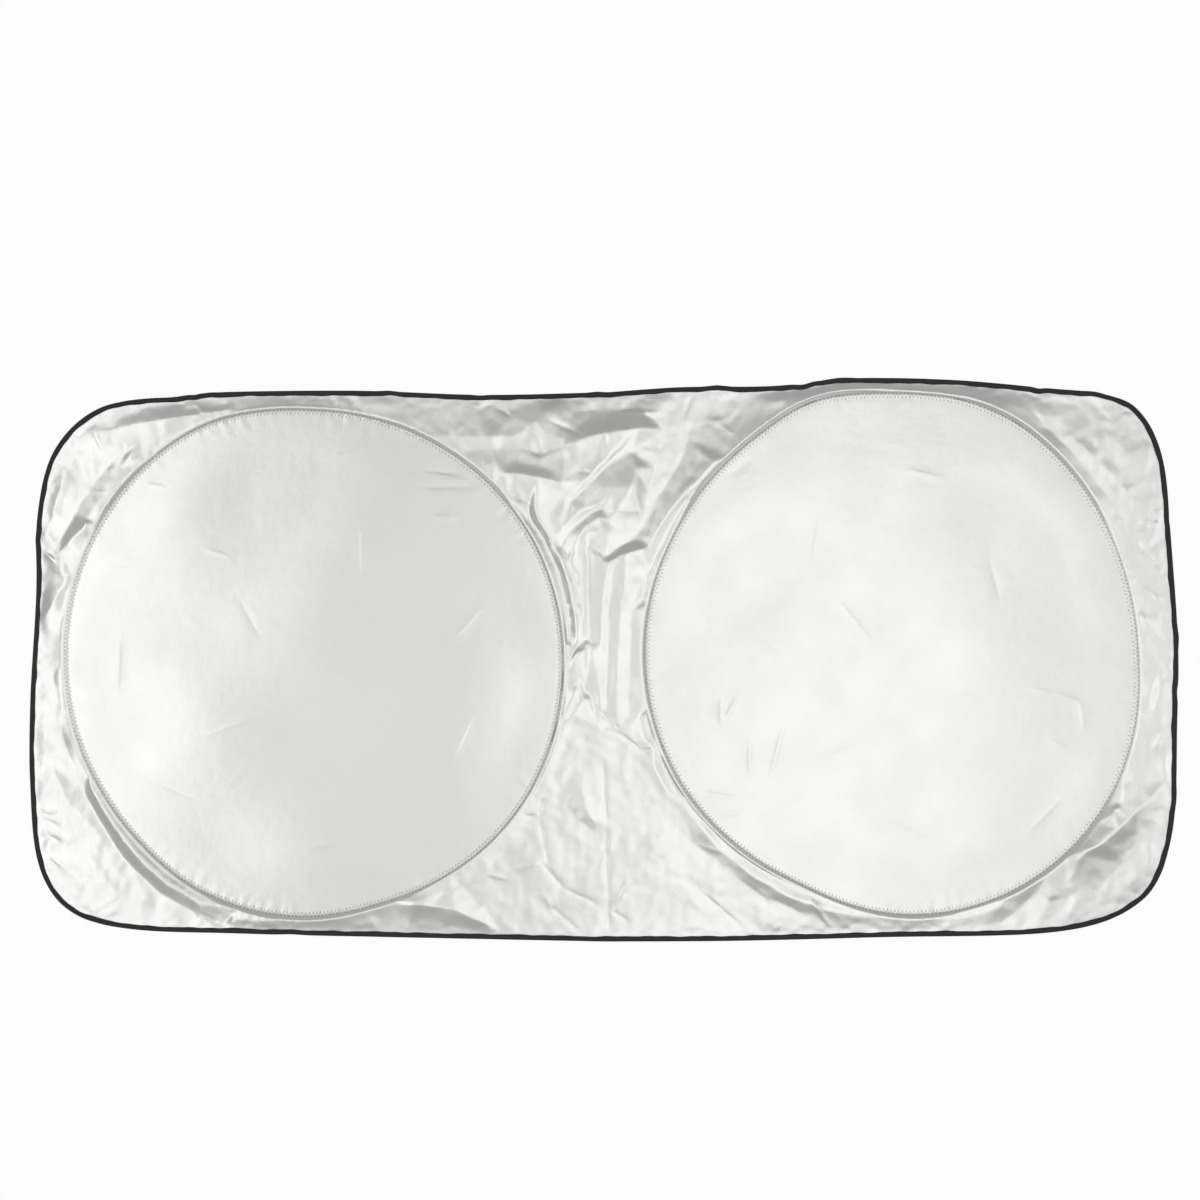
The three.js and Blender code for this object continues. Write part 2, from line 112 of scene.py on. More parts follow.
# The ridge over a wire: its reach to either side, where the loose cloth starts outside it, and where round
# each hoop the wire's sleeve lifts it, in degrees, with half the lifted length and its slope
RIDGE_REACH = 2.9
RIDGE_INNER_REACH = 3.1
RING_FOOT = 1.4
JOINT_ANGLES = {"left": -10.0, "right": 222.0}
SLEEVE_LEAD = 74
SLEEVE_EASE = 66
WIRE_RADIUS = 1.1

# How high the folds of the table below stand, and how far a thin crease reaches to either side
FOLD_SCALE = 1.18
FOLD_BLUNTING = 1.6
CREASE_REACH = 2.4
CREASE_STRENGTH = 1.3

# Settling of the loose cloth: its coarse mesh (edge rows, hoop rows, then the spacings), how much wider and
# higher it is cut than it lies, how much of its movement the sheet takes on, and the solver's own values
SETTLE_NET = ((0.0, 5.2, 11.0), (-4.0, 0.6, 4.4, 9.5), 8.0, 7.5, 40.0, 2)
SETTLE_GROWTH = 0.0006
SETTLE_SURPLUS = 1.12
SETTLE_SHARE = 0.45
SETTLE_FRAMES = 24
LOOSE_LEVEL = 0.7
TABLE_CLEARANCE = 0.9
SETTLE_CLOTH = {
    "quality": 6, "mass": 0.02, "air_damping": 3, "tension_stiffness": 40, "compression_stiffness": 40,
    "shear_stiffness": 10, "bending_stiffness": 0.5, "tension_damping": 20, "compression_damping": 20,
    "shear_damping": 10, "bending_damping": 2, "vertex_group_mass": "held", "pin_stiffness": 1,
    "shrink_min": -SETTLE_GROWTH,
}

# Edge tape: how far it covers the sheet, the height of its middle and the reach of its bend, and its seam
TAPE_MARGIN = 7.8
TAPE_MIDDLE = 1.0
TAPE_BEND_REACH = 1.1
TAPE_LIFT = 0.3
TAPE_SEAM_DEPTH = 5.0
TAPE_STITCH = 3.6
TAPE_THREAD_RADIUS = 0.2

# Zigzag seam, inside each wire
SEAM_INSIDE = 5.9
THREAD_RADIUS = 0.3
NEEDLE_HOLE = 0.7

# Patterns of the textiles. Real threads stand about 0.25 mm apart, and are drawn further apart so that they
# show; the tape's ribs and the thread's plies are near their real size.
SHOWN_THREAD_PITCH = 1.1
TAPE_RIB_PITCH = 0.9
PLY_PITCH = 0.7

# Crests and valleys of the loose cloth, drawn on the photograph: lines of points, each its pixel
# across and down and its height in millimetres, between which the cloth spans as flat facets
FOLD_PIXELS = (
    (
        (352, 399, 2.2), (380, 404, 4.4), (412, 417, 5), (447, 437, 6.5), (459, 437, 8), (490, 438, 9.5),
        (516, 437, 9), (535, 421, 7.5), (554, 407, 4.5),
    ),
    ((463, 401, 1.6), (475, 410, 4.6)),
    ((495, 405, 2.4), (512, 416, 6)),
    ((474, 450, 6.4), (492, 450, 7.8), (520, 449, 8), (540, 455, 7.8)),
    ((494, 475, 6.4), (505, 475, 9.6), (516, 474, 12), (537, 478, 12.5), (563, 484, 12), (578, 469, 10)),
    ((541, 458, 9.2), (565, 447, 11), (590, 437, 12), (620, 431, 12.5), (640, 429, 11.5)),
    ((575, 411, 2.2), (600, 410, 2.4), (640, 409, 3)),
    ((572, 501, 8.2), (590, 484, 8.8), (612, 461, 9.8), (628, 444, 11)),
    ((568, 497, 9.8), (586, 480, 10.6), (608, 457, 11.6), (624, 440, 12.2)),
    ((598, 489, 10.6), (614, 488, 12), (633, 489, 13.2)),
    ((632, 452, 10.4), (637, 470, 11.4), (633, 489, 13.2)),
    ((660, 402, 3.4), (662, 430, 4.4), (655, 470, 4.4), (648, 490, 4.2), (641, 520, 4.2), (636, 536, 4.4)),
    ((703, 394, 1.8), (692, 415, 2.6), (688, 440, 3), (680, 462, 3.2), (662, 492, 3.6), (645, 530, 4)),
    ((716, 463, 10), (700, 480, 9.6), (684, 493, 9), (668, 514, 8.4), (655, 534, 8), (648, 549, 7.6)),
    ((686, 502, 5), (673, 522, 4.2), (661, 548, 3.4), (650, 575, 3), (644, 600, 3)),
    ((607, 557, 5.4), (622, 546, 5), (640, 540, 5)),
    ((609, 563, 9.4), (625, 554, 9.8), (646, 549, 8.6)),
    ((552, 545, 6.5), (562, 528, 8.6), (578, 514, 10), (602, 503, 10.8)),
    ((561, 548, 5), (575, 528, 6.6), (592, 513, 8.2), (603, 509, 8.6)),
    ((568, 562, 7), (575, 545, 8.6), (586, 527, 9.8), (600, 518, 10.4), (610, 521, 10.6)),
    ((588, 534, 6.8), (604, 530, 7.4), (611, 534, 7.4)),
    (
        (529, 508, 3), (531, 522, 1.8), (544, 541, 1.3), (556, 566, 1.1), (563, 592, 1.1), (567, 612, 1.2),
        (568, 640, 1.5),
    ),
    (
        (536, 505, 8), (539, 519, 7.4), (551, 538, 7.2), (562, 560, 7.2), (570, 585, 6.8), (575, 610, 6.2),
        (577, 640, 5.4),
    ),
    ((566, 560, 5.4), (575, 582, 5), (579, 606, 4.6)),
    ((577, 568, 7.6), (583, 592, 7.4), (584, 620, 6.6)),
    ((588, 545, 5.4), (587, 600, 4.8), (586.5, 640, 4.6), (586, 690, 4.6)),
    ((608, 566, 8.6), (603, 600, 7.2), (601.5, 640, 6.8), (600, 690, 6.6), (600, 728, 6), (601, 757, 4.8)),
    ((613, 568, 7.4), (609, 600, 6), (608, 640, 5.6), (607, 690, 5.4), (606, 726, 5)),
    ((626, 575, 7.6), (621, 605, 7.2), (619, 640, 7.1), (617, 690, 6.7), (617, 724, 6)),
    ((637, 592, 5.4), (633, 610, 5), (631, 645, 4.9), (629, 690, 4.9), (629, 718, 4.8)),
    ((572, 655, 3.6), (577, 648, 4.2), (584, 642, 4.6), (592, 643, 5)),
    ((573, 662, 6), (578, 653, 7.6), (586, 650, 8), (593, 652, 7.6)),
    ((580, 678, 5.2), (585, 690, 4.2), (592, 697, 4.6)),
    ((578, 684, 6.2), (582, 697, 6.4), (589, 703, 6.6)),
    ((564, 727, 4.6), (573, 714, 6.8), (587, 701, 8)),
    ((564, 714, 3), (569, 702, 3.2), (575, 692, 3.6)),
    ((560, 780, 4.8), (575, 760, 5.2)),
    ((565, 785, 4.6), (567, 807, 3.4), (578, 818, 3.4), (596, 834, 4.2)),
    ((581, 785, 6), (585, 806, 6.2), (594, 822, 5.8)),
    ((606, 770, 5), (610, 820, 5), (612, 870, 4.4), (612, 920, 2.4)),
    ((560, 860, 4.4), (590, 880, 4), (600, 905, 3)),
    ((480, 905, 3.6), (530, 900, 3.6), (560, 915, 2.6)),
    ((622, 736, 5.8), (640, 752, 5.8), (656, 748, 5.4)),
    ((640, 770, 5.8), (655, 800, 5.6), (665, 830, 5.2), (660, 870, 4.2)),
    ((646, 714, 2.2), (652, 736, 2), (661, 760, 2), (670, 780, 2.2), (679, 793, 2.6)),
    ((640, 718, 5.2), (645, 741, 5.2), (654, 765, 5.2), (663, 784, 5.2), (671, 796, 5)),
    ((690, 816, 5), (706, 832, 6.2), (720, 849, 5.4)),
    ((675, 826, 4.4), (692, 843, 3.4), (712, 858, 3)),
    ((722, 851, 5), (750, 873, 6.6), (787, 895, 6.8), (828, 910, 6), (871, 918, 4.6)),
    ((738, 874, 4), (765, 896, 3.6), (802, 912, 3.2)),
    ((690, 880, 3.8), (730, 905, 3.2), (770, 918, 2.6)),
    (
        (236, 919, 5.4), (270, 920, 6.2), (310, 920, 6.4), (345, 917, 6.6), (377, 909, 7.2),
        (414, 903, 8.2), (453, 908, 7.8), (480, 921, 5.4), (500, 931, 2.4),
    ),
    ((112, 464, 3.4), (91, 488, 2.8), (76, 514, 2.6), (62, 538, 2.8)),
    ((102, 515, 8.2), (88, 526, 7.4), (72, 541, 6), (58, 553, 4)),
    ((100, 432, 6.4), (130, 427, 7.4), (165, 420, 7.4), (200, 415, 6), (232, 411, 4.6)),
    ((108, 445, 5.6), (130, 447, 5), (152, 440, 4.6)),
    ((80, 450, 4.6), (64, 480, 5.2), (55, 510, 4.6), (48, 535, 3.6)),
    ((78, 561, 4.8), (67, 581, 5.2), (53, 604, 4.8), (44, 619, 3)),
    ((83, 566, 4), (72, 586, 4.5), (58, 609, 4), (48, 627, 2.6)),
    (
        (60, 672, 4.4), (65, 708, 4.8), (76, 746, 5.4), (93, 786, 6), (116, 825, 7), (135, 850, 7.6),
        (164, 879, 7.4), (200, 901, 6.2), (240, 912, 4.6),
    ),
    (
        (53, 676, 3), (58, 714, 3), (69, 753, 3.2), (86, 794, 3.2), (108, 835, 3), (126, 860, 2.8),
        (156, 891, 2.6), (194, 913, 2.4),
    ),
    ((45, 735, 3), (52, 765, 4.6), (70, 803, 5.4), (88, 823, 4.8), (100, 834, 3.8)),
    ((60, 850, 3.6), (96, 880, 4.4), (140, 902, 3.4)),
    ((200, 918, 3), (222, 925, 2)),
    ((872, 391, 2.6), (900, 392, 2.8), (930, 393, 2.8), (950, 394, 2.8)),
    (
        (1031, 396, 2.2), (1031, 411, 3.8), (1049, 431, 4.2), (1073, 454, 4.4), (1093, 480, 4.4),
        (1113, 506, 4.2), (1127, 533, 3.9), (1144, 553, 3.4), (1160, 570, 2.6),
    ),
    (
        (1040, 415, 4.8), (1060, 417, 5), (1099, 420, 5), (1112, 423, 5.6), (1127, 417, 4.6),
        (1138, 412, 3.2),
    ),
    ((1086, 396, 1.6), (1098, 408, 3), (1112, 423, 5.6)),
    ((1072, 438, 6.2), (1093, 455, 6.9), (1115, 478, 6.9), (1135, 502, 6), (1152, 524, 4.2)),
    ((1086, 438, 5.6), (1107, 458, 5.9), (1128, 482, 5.7), (1147, 504, 4.6), (1160, 517, 3.2)),
    ((1116, 440, 6.2), (1141, 468, 5.4), (1157, 488, 3.6)),
    ((1119, 548, 6), (1130, 583, 6), (1137, 611, 5.4), (1141, 640, 4.6)),
    ((1124, 553, 3.4), (1136, 584, 3.2), (1144, 606, 3)),
    ((1144, 618, 4.8), (1152, 628, 4.6), (1160, 637, 4.2), (1170, 624, 2)),
    ((1150, 650, 3.2), (1160, 670, 3.6), (1150, 690, 3)),
    ((1168, 668, 2.2), (1158, 690, 4.6), (1151, 715, 4.8), (1147, 738, 4.2)),
    ((1166, 762, 2.4), (1142, 786, 5.6), (1124, 800, 8.4), (1110, 816, 10)),
    (
        (1168, 780, 3), (1150, 797, 8), (1130, 815, 11.6), (1116, 828, 13), (1101, 842, 12.8),
        (1081, 853, 10), (1060, 862, 7.4), (1038, 872, 5.4),
    ),
    ((1143, 832, 6.2), (1122, 862, 4.6), (1097, 892, 4), (1069, 896, 4), (1048, 900, 3.8)),
    ((1156, 820, 5), (1150, 860, 4.2), (1120, 895, 3.4), (1080, 912, 2.6)),
    ((1066, 886, 5), (1075, 902, 4.4)),
    ((897, 916, 4.4), (930, 920, 4.6), (970, 915, 5), (1000, 905, 5), (1018, 893, 5.6)),
    ((1037, 889, 3.6), (1017, 910, 2.4), (1000, 924, 1.6)),
    ((1052, 896, 5.4), (1042, 914, 3.6)),
)

# Thin creases in the cloth, drawn likewise: the pixels of a line, and the crease's rise in millimetres
CREASE_PIXELS = (
    (((428, 470), (472, 476)), -0.5),
    (((420, 487), (474, 487)), -0.35),
    (((430, 516), (458, 519)), 0.4),
    (((212, 410), (250, 430)), 0.3),
    (((88, 490), (132, 497)), 0.35),
    (((140, 484), (165, 487)), 0.4),
    (((146, 476), (160, 470)), 0.35),
    (((140, 560), (96, 575)), 0.3),
    (((205, 549), (232, 558)), 0.35),
    (((318, 462), (352, 452)), 0.3),
    (((362, 530), (364, 575)), 0.3),
    (((205, 735), (250, 720)), 0.3),
    (((150, 780), (198, 800)), -0.3),
    (((452, 640), (480, 610)), 0.3),
    (((300, 850), (352, 838)), 0.3),
    (((120, 640), (118, 690)), 0.3),
    (((240, 600), (262, 640)), -0.25),
    (((470, 720), (452, 760)), 0.35),
    (((721, 701), (721, 726), (740, 695)), 0.5),
    (((750, 738), (750, 793)), 0.45),
    (((785, 721), (764, 799)), 0.45),
    (((811, 760), (858, 740)), 0.4),
    (((1029, 689), (1054, 693), (1080, 701), (1084, 730)), 0.4),
    (((701, 792), (746, 800)), -0.45),
    (((706, 815), (748, 812)), 0.4),
    (((716, 826), (740, 829)), -0.5),
    (((1050, 740), (1064, 748)), 0.35),
    (((737, 852), (762, 866)), 0.5),
    (((742, 585), (760, 560)), 0.35),
    (((838, 600), (870, 640)), 0.3),
    (((905, 470), (942, 478)), 0.3),
    (((880, 820), (930, 838)), 0.35),
    (((990, 560), (1000, 602)), -0.3),
    (((940, 700), (975, 690)), 0.3),
    (((760, 640), (784, 662)), 0.35),
    (((1030, 830), (1060, 800)), 0.3),
    (((820, 520), (812, 560)), 0.3),
    (((725, 478), (750, 460)), -0.5),
    (((599, 709), (620, 734), (643, 751), (655, 748)), -0.9),
    (((604, 762), (606, 824), (608, 905), (608, 930)), -0.5),
    (((540, 822), (545, 846), (549, 863)), -0.6),
    (((543, 864), (565, 889), (596, 903)), -0.6),
    (((518, 867), (541, 863)), 0.5),
    (((456, 888), (488, 874), (508, 879)), 0.6),
    (((440, 896), (475, 878)), -0.5),
    (((553, 908), (580, 932)), -0.6),
    (((543, 798), (539, 817), (522, 816)), -0.7),
    (((628, 882), (612, 905)), 0.5),
    (((611, 911), (628, 920)), -0.5),
    (((800, 884), (832, 928)), 1.1),
    (((699, 890), (741, 926)), -0.6),
    (((735, 872), (770, 898)), 0.5),
    (((465, 399), (474, 408)), -0.5),
    (((496, 407), (511, 416)), -0.5),
    (((549, 420), (585, 437)), -0.5),
    (((606, 400), (606, 450)), 0.45),
    (((620, 413), (658, 413)), 0.8),
    (((691, 395), (684, 418)), -0.5),
    (((714, 420), (735, 437)), 0.4),
    (((706, 421), (722, 420)), 0.4),
    (((610, 509), (640, 512)), 0.4),
    (((612, 533), (612, 552)), -0.4),
    (((578, 470), (592, 474)), -0.5),
    (((42, 551), (57, 562)), 1.2),
    (((139, 448), (123, 467)), 0.5),
    (((133, 446), (119, 463)), -0.4),
    (((191, 400), (206, 414)), 0.6),
    (((44, 820), (60, 826)), -0.6),
    (((42, 810), (58, 812)), 0.6),
    (((50, 855), (66, 868)), 0.6),
    (((46, 835), (62, 842)), -0.5),
    (((1136, 531), (1165, 516)), -0.6),
    (((1140, 524), (1166, 522)), 0.7),
    (((1150, 450), (1160, 462)), -0.5),
    (((1138, 545), (1170, 580)), -0.5),
    (((1148, 590), (1168, 606)), 0.6),
    (((1152, 750), (1170, 722)), 0.6),
    (((1113, 806), (1122, 811)), 0.8),
    (((700, 845), (722, 852)), 0.4),
    (((612, 840), (600, 870)), 0.35),
    (((235, 912), (228, 932)), 0.6),
    (((200, 912), (228, 930)), -0.5),
    (((66, 446), (96, 424)), -0.5),
    (((94, 430), (104, 452)), 0.4),
)

# A sprung wire in slack cloth never lies as an even ring: here are the degree round each hoop, anticlockwise
# from its right side, and the millimetres that its loop lies outside the ring there, as the picture shows it.
LOOP_SHIFTS = {
    "left": (
        (0, 4.5), (15, 4.5), (30, 3.9), (45, 0.8), (60, -1.8), (75, -2.6), (90, -1.3), (97, 2.4), (105, 7.4),
        (112, 12.6), (120, 14.9), (127, 14.8), (135, 13.8), (150, 11.5), (165, 9.9), (180, 7.6), (195, 6.0),
        (210, 2.4), (225, 2.1), (240, 5.8), (255, 4.7), (270, 1.8), (285, -3.9), (300, -1.3), (315, 2.9),
        (330, 5.2), (345, 5.5),
    ),
    "right": (
        (0, 1.3), (15, -0.5), (30, 0.8), (45, 4.2), (60, 8.1), (75, 6.5), (82, 2.7), (90, 1.8), (97, 3.9),
        (105, 9.2), (112, 9.7), (120, 4.5), (127, 3.1), (135, 2.9), (150, 3.9), (165, 7.1), (180, 8.4),
        (195, 7.6), (210, 5.8), (225, -0.5), (240, -5.2), (247, -6.8), (255, -3.1), (270, 6.3), (285, 12.6),
        (300, 17.0), (315, 18.6), (330, 17.0), (345, 10.5),
    ),
}
# The loose cloth lies piled against the ridges in places: the height in millimetres that it has beside each
# hoop, again by degrees.
FOOT_LEVELS = {
    "left": (
        (0, 3.7), (34, 3.7), (38, 4.4), (42, 6.2), (46, 6.2), (52, 5.6), (57, 5.0), (61, 5.8), (66, 5.4), (72, 5.0),
        (78, 4.2), (85, 3.7), (128, 3.7), (133, 5.4), (137, 6.4), (144, 6.4), (148, 5.2), (152, 3.9), (235, 3.7),
        (243, 4.0), (250, 5.2), (262, 5.6), (275, 5.6), (285, 5.4), (292, 4.8), (300, 4.0), (308, 3.7),
    ),
    "right": (
        (0, 3.7), (24, 3.9), (30, 5.2), (36, 5.8), (48, 6.2), (62, 6.4), (68, 6.0), (72, 5.0), (76, 3.6), (80, 3.2),
        (88, 3.4), (93, 4.8), (98, 6.2), (104, 7.2), (112, 7.8), (138, 7.8), (144, 6.2), (150, 4.4), (156, 3.7),
        (165, 5.0), (180, 5.2), (200, 5.0), (212, 3.7), (256, 3.7), (268, 4.8), (275, 5.4), (281, 5.2),
        (284, 3.6), (291, 3.6), (296, 5.0), (300, 5.4), (309, 5.6), (318, 5.4), (326, 5.0), (335, 4.6),
        (345, 4.2), (352, 3.8),
    ),
}

# Small kinks that the gathered tape gives the edge: where, how far outwards, and half the width
EDGE_KINKS = (
    (-529, 350, -1.6, 9),
    (-507, 363, 1.8, 12),
    (-723, 145, -1.8, 8),
    (-737, 160, 1.4, 14),
    (-270, 359, 1.6, 16),
    (-150, 352, -1.4, 12),
    (3, 350, 1.4, 14),
    (160, 357, 2.0, 20),
    (270, 362, -2.2, 14),
    (318, 371, 1.8, 24),
    (573, 351, -1.8, 9),
    (644, 353, 2.0, 18),
    (729, 316, 1.8, 20),
    (747, 181, -1.6, 12),
    (752, 30, 1.6, 18),
    (748, -40, -1.6, 14),
    (738, -175, 1.6, 22),
    (-722, -262, -1.8, 12),
    (-700, -300, 1.5, 18),
    (-400, -360, -1.0, 22),
)


class SunshadeSizes(bpy.types.PropertyGroup):
    """Sizes that a user would change."""

    cloth_gauge: bpy.props.FloatProperty(
        name="Cloth gauge", description="Thickness of the silver cloth", default=0.3 * MM, unit="LENGTH"
    )
    tape_width: bpy.props.FloatProperty(
        name="Tape width", description="Visible width of the folded edge tape", default=6.8 * MM, unit="LENGTH"
    )
    tape_gauge: bpy.props.FloatProperty(
        name="Tape gauge", description="Thickness of the edge tape", default=0.45 * MM, unit="LENGTH"
    )
    stitch_pitch: bpy.props.FloatProperty(
        name="Zigzag pitch", description="Length of one zigzag of the hoop seam", default=5 * MM, unit="LENGTH"
    )
    stitch_width: bpy.props.FloatProperty(
        name="Zigzag width", description="Width of the hoop seam's zigzag", default=6.2 * MM, unit="LENGTH"
    )


class SunshadeColours(bpy.types.PropertyGroup):
    """Colours that a user would change, as sRGB hex values."""

    silver: bpy.props.StringProperty(name="Silver", description="Coated face of the cloth", default="E9EAE7")
    tape: bpy.props.StringProperty(name="Tape", description="Edge tape and its thread", default="1B1A1D")
    thread: bpy.props.StringProperty(name="Thread", description="Zigzag thread", default="BEBEBA")


def linear(code):
    """An sRGB hex value as linear red, green, blue and a full alpha."""
    shares = [int(code[i : i + 2], 16) / 255 for i in (0, 2, 4)]
    return [s / 12.92 if s <= 0.04045 else ((s + 0.055) / 1.055) ** 2.4 for s in shares] + [1.0]


def smooth(share):
    t = np.clip(share, 0.0, 1.0)
    return t * t * (3 - 2 * t)


def node_points(name):
    """The corners of a CAD node's mesh, in millimetres."""
    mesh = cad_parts[name].data
    points = np.empty(3 * len(mesh.vertices))
    mesh.vertices.foreach_get("co", points)
    return points.reshape(-1, 3) / MM


def on_sheet(across, down):
    """The whole millimetres of the spot on the sheet that the camera shows at a pixel."""
    yaw, distance = math.radians(CAMERA_YAW), CAMERA_DISTANCE / MM
    aside = across - PRINCIPAL_POINT[0]
    x = distance * aside / (FOCAL_PIXELS * math.cos(yaw) + math.sin(yaw) * aside)
    y = (PRINCIPAL_POINT[1] - down) * (distance - x * math.sin(yaw)) / FOCAL_PIXELS
    return round(x), round(y + CAMERA_AIM_Y)


def soft_loop(shifts):
    """A hoop's shifts at every degree, as one soft closed line."""
    degrees, reach = np.array(shifts, float).T
    line = np.interp(np.arange(360), degrees, reach, period=360)
    weight = np.exp(-((np.arange(-15, 16) / 4.0) ** 2))
    line = np.convolve(np.concatenate([line[-15:], line, line[:15]]), weight / weight.sum(), "valid")
    return np.append(line, line[0])


def read_hoop(side):
    """Middle and half axes of a hoop's wire, from the frame, and its loop's shifts from that even ring."""
    points = node_points(f"hoop_wire_{side}")
    low, high = points.min(axis=0), points.max(axis=0)
    half = (high - low)[:2] / 2 - WIRE_RADIUS
    loop = soft_loop(LOOP_SHIFTS[side])
    return {"middle": (low + high)[:2] / 2, "half": half, "radius": half.mean(), "loop": loop}


def read_edge():
    """The binding's outer line, anticlockwise, and how far it is lifted at each of its points."""
    points = node_points("edge_binding")
    places = {}
    for x, y, z in points:
        places.setdefault((round(x, 1), round(y, 1)), set()).add(round(z, 1))
    height = max(max(z) - min(z) for z in places.values())
    outer = [(x, y, min(z)) for (x, y), z in places.items() if len(z) == 2 and max(z) - min(z) > 0.8 * height]
    outer.sort(key=lambda point: math.atan2(point[1], point[0]))
    return np.array(outer)


def loop_shift(hoop, angle):
    """How far a hoop's loop lies outside its even ring, at each angle."""
    return np.interp(np.degrees(angle) % 360, np.arange(361), hoop["loop"])


def on_ring(hoop, angle, outwards):
    """Points of a hoop's loop, moved outwards."""
    reach = hoop["half"][:, None] + np.asarray(outwards) + loop_shift(hoop, angle)
    return (hoop["middle"][:, None] + reach * np.array([np.cos(angle), np.sin(angle)])).T


def beside_ring(hoop, points):
    """How far each point lies outside a hoop's loop, and its angle round it."""
    shares = (points - hoop["middle"]) / hoop["half"]
    outside = (np.linalg.norm(shares, axis=1) - 1) * hoop["radius"]
    angle = np.arctan2(shares[:, 1], shares[:, 0])
    return outside - loop_shift(hoop, angle), angle


def beside_hoops(points):
    """How far each point lies outside the nearer hoop's loop."""
    return np.min([beside_ring(hoop, points)[0] for hoop in HOOPS.values()], axis=0)


def resampled(points, step):
    """A closed line through the points, with even steps, by periodic Catmull-Rom pieces."""
    tangent = (np.roll(points, -1, axis=0) - np.roll(points, 1, axis=0)) / 2
    t = np.linspace(0, 1, 12, endpoint=False)[:, None]
    pieces = []
    for i in range(len(points)):
        j = (i + 1) % len(points)
        pieces.append(
            (2 * t**3 - 3 * t**2 + 1) * points[i]
            + (t**3 - 2 * t**2 + t) * tangent[i]
            + (3 * t**2 - 2 * t**3) * points[j]
            + (t**3 - t**2) * tangent[j]
        )
    fine = np.vstack(pieces)
    closed = np.vstack([fine, fine[:1]])
    run = np.concatenate([[0], np.cumsum(np.linalg.norm(np.diff(closed[:, :2], axis=0), axis=1))])
    stations = np.linspace(0, run[-1], int(run[-1] / step), endpoint=False)
    return np.column_stack([np.interp(stations, run, closed[:, k]) for k in range(closed.shape[1])])


def inwards(line):
    """Unit vectors into the sheet along a closed anticlockwise line."""
    along = np.roll(line[:, :2], -1, axis=0) - np.roll(line[:, :2], 1, axis=0)
    normal = np.column_stack([-along[:, 1], along[:, 0]])
    return normal / np.linalg.norm(normal, axis=1)[:, None]


def kinked(line):
    """The sheet's edge with its small kinks."""
    outwards = -inwards(line)
    moved = line.copy()
    for x, y, reach, width in EDGE_KINKS:
        gap = np.linalg.norm(line[:, :2] - [x, y], axis=1)
        moved[:, :2] += outwards * (reach * np.clip(1 - gap / width, 0, 1))[:, None]
    return moved


def edge_distance(points, line):
    """Distance of each point from the sheet's edge, and the nearest edge point's place in the line."""
    nearest = np.full(len(points), np.inf)
    place = np.zeros(len(points), int)
    for i, spot in enumerate(line[:, :2]):
        gap = np.linalg.norm(points - spot, axis=1)
        closer = gap < nearest
        nearest[closer] = gap[closer]
        place[closer] = i
    return nearest, place


def wave_field(points, wavelength, seed, waves=28):
    """A soft random field of about unit size: waves of like length in many directions."""
    rng = np.random.default_rng(seed)
    total = np.zeros(len(points))
    for _ in range(waves):
        heading = rng.uniform(0, 2 * math.pi)
        number = 2 * math.pi / (wavelength * rng.uniform(0.7, 1.4))
        phase = rng.uniform(0, 2 * math.pi)
        total += np.sin(number * (points @ [math.cos(heading), math.sin(heading)]) + phase)
    return total * math.sqrt(2 / waves)


def crease_rise(points):
    """Marks of handling: low, narrow, straight creases, up or down."""
    up, down = np.zeros(len(points)), np.zeros(len(points))
    for line, rise in CREASES:
        total = up if rise > 0 else down
        spots = [np.array(spot) for spot in line]
        for a, b in zip(spots, spots[1:]):
            run = b - a
            share = np.clip(((points - a) @ run) / (run @ run), 0, 1)
            gap = np.linalg.norm(points - a - share[:, None] * run, axis=1)
            fade = 0.35 + 0.65 * smooth(4 * share * (1 - share))
            np.maximum(total, abs(rise) * fade * np.exp(-((gap / CREASE_REACH) ** 2)), out=total)
    return CREASE_STRENGTH * (up - down)


def line_points(lines, step, offsets):
    """Extra mesh points beside lines, so that the mesh bends along them."""
    found = []
    for line in lines:
        spots = [np.array(spot[:2], float) for spot in line]
        for a, b in zip(spots, spots[1:]):
            length = np.linalg.norm(b - a)
            across = np.array([a[1] - b[1], b[0] - a[0]]) / length
            for share in np.arange(0, length, step) / length:
                found += [a + (b - a) * share + across * side for side in offsets]
    return np.array(found)


def thinned(points, reach, kept=()):
    """Drops points that lie closer than the reach to a point kept before them."""
    cells = {}
    for spot in kept:
        cells.setdefault((int(spot[0] // reach), int(spot[1] // reach)), []).append(spot)
    chosen = []
    for spot in points:
        column, row = int(spot[0] // reach), int(spot[1] // reach)
        near = [
            other
            for i in (column - 1, column, column + 1)
            for j in (row - 1, row, row + 1)
            for other in cells.get((i, j), ())
        ]
        if all((spot[0] - other[0]) ** 2 + (spot[1] - other[1]) ** 2 > reach**2 for other in near):
            cells.setdefault((column, row), []).append(spot)
            chosen.append(spot)
    return np.array(chosen).reshape(-1, 2)


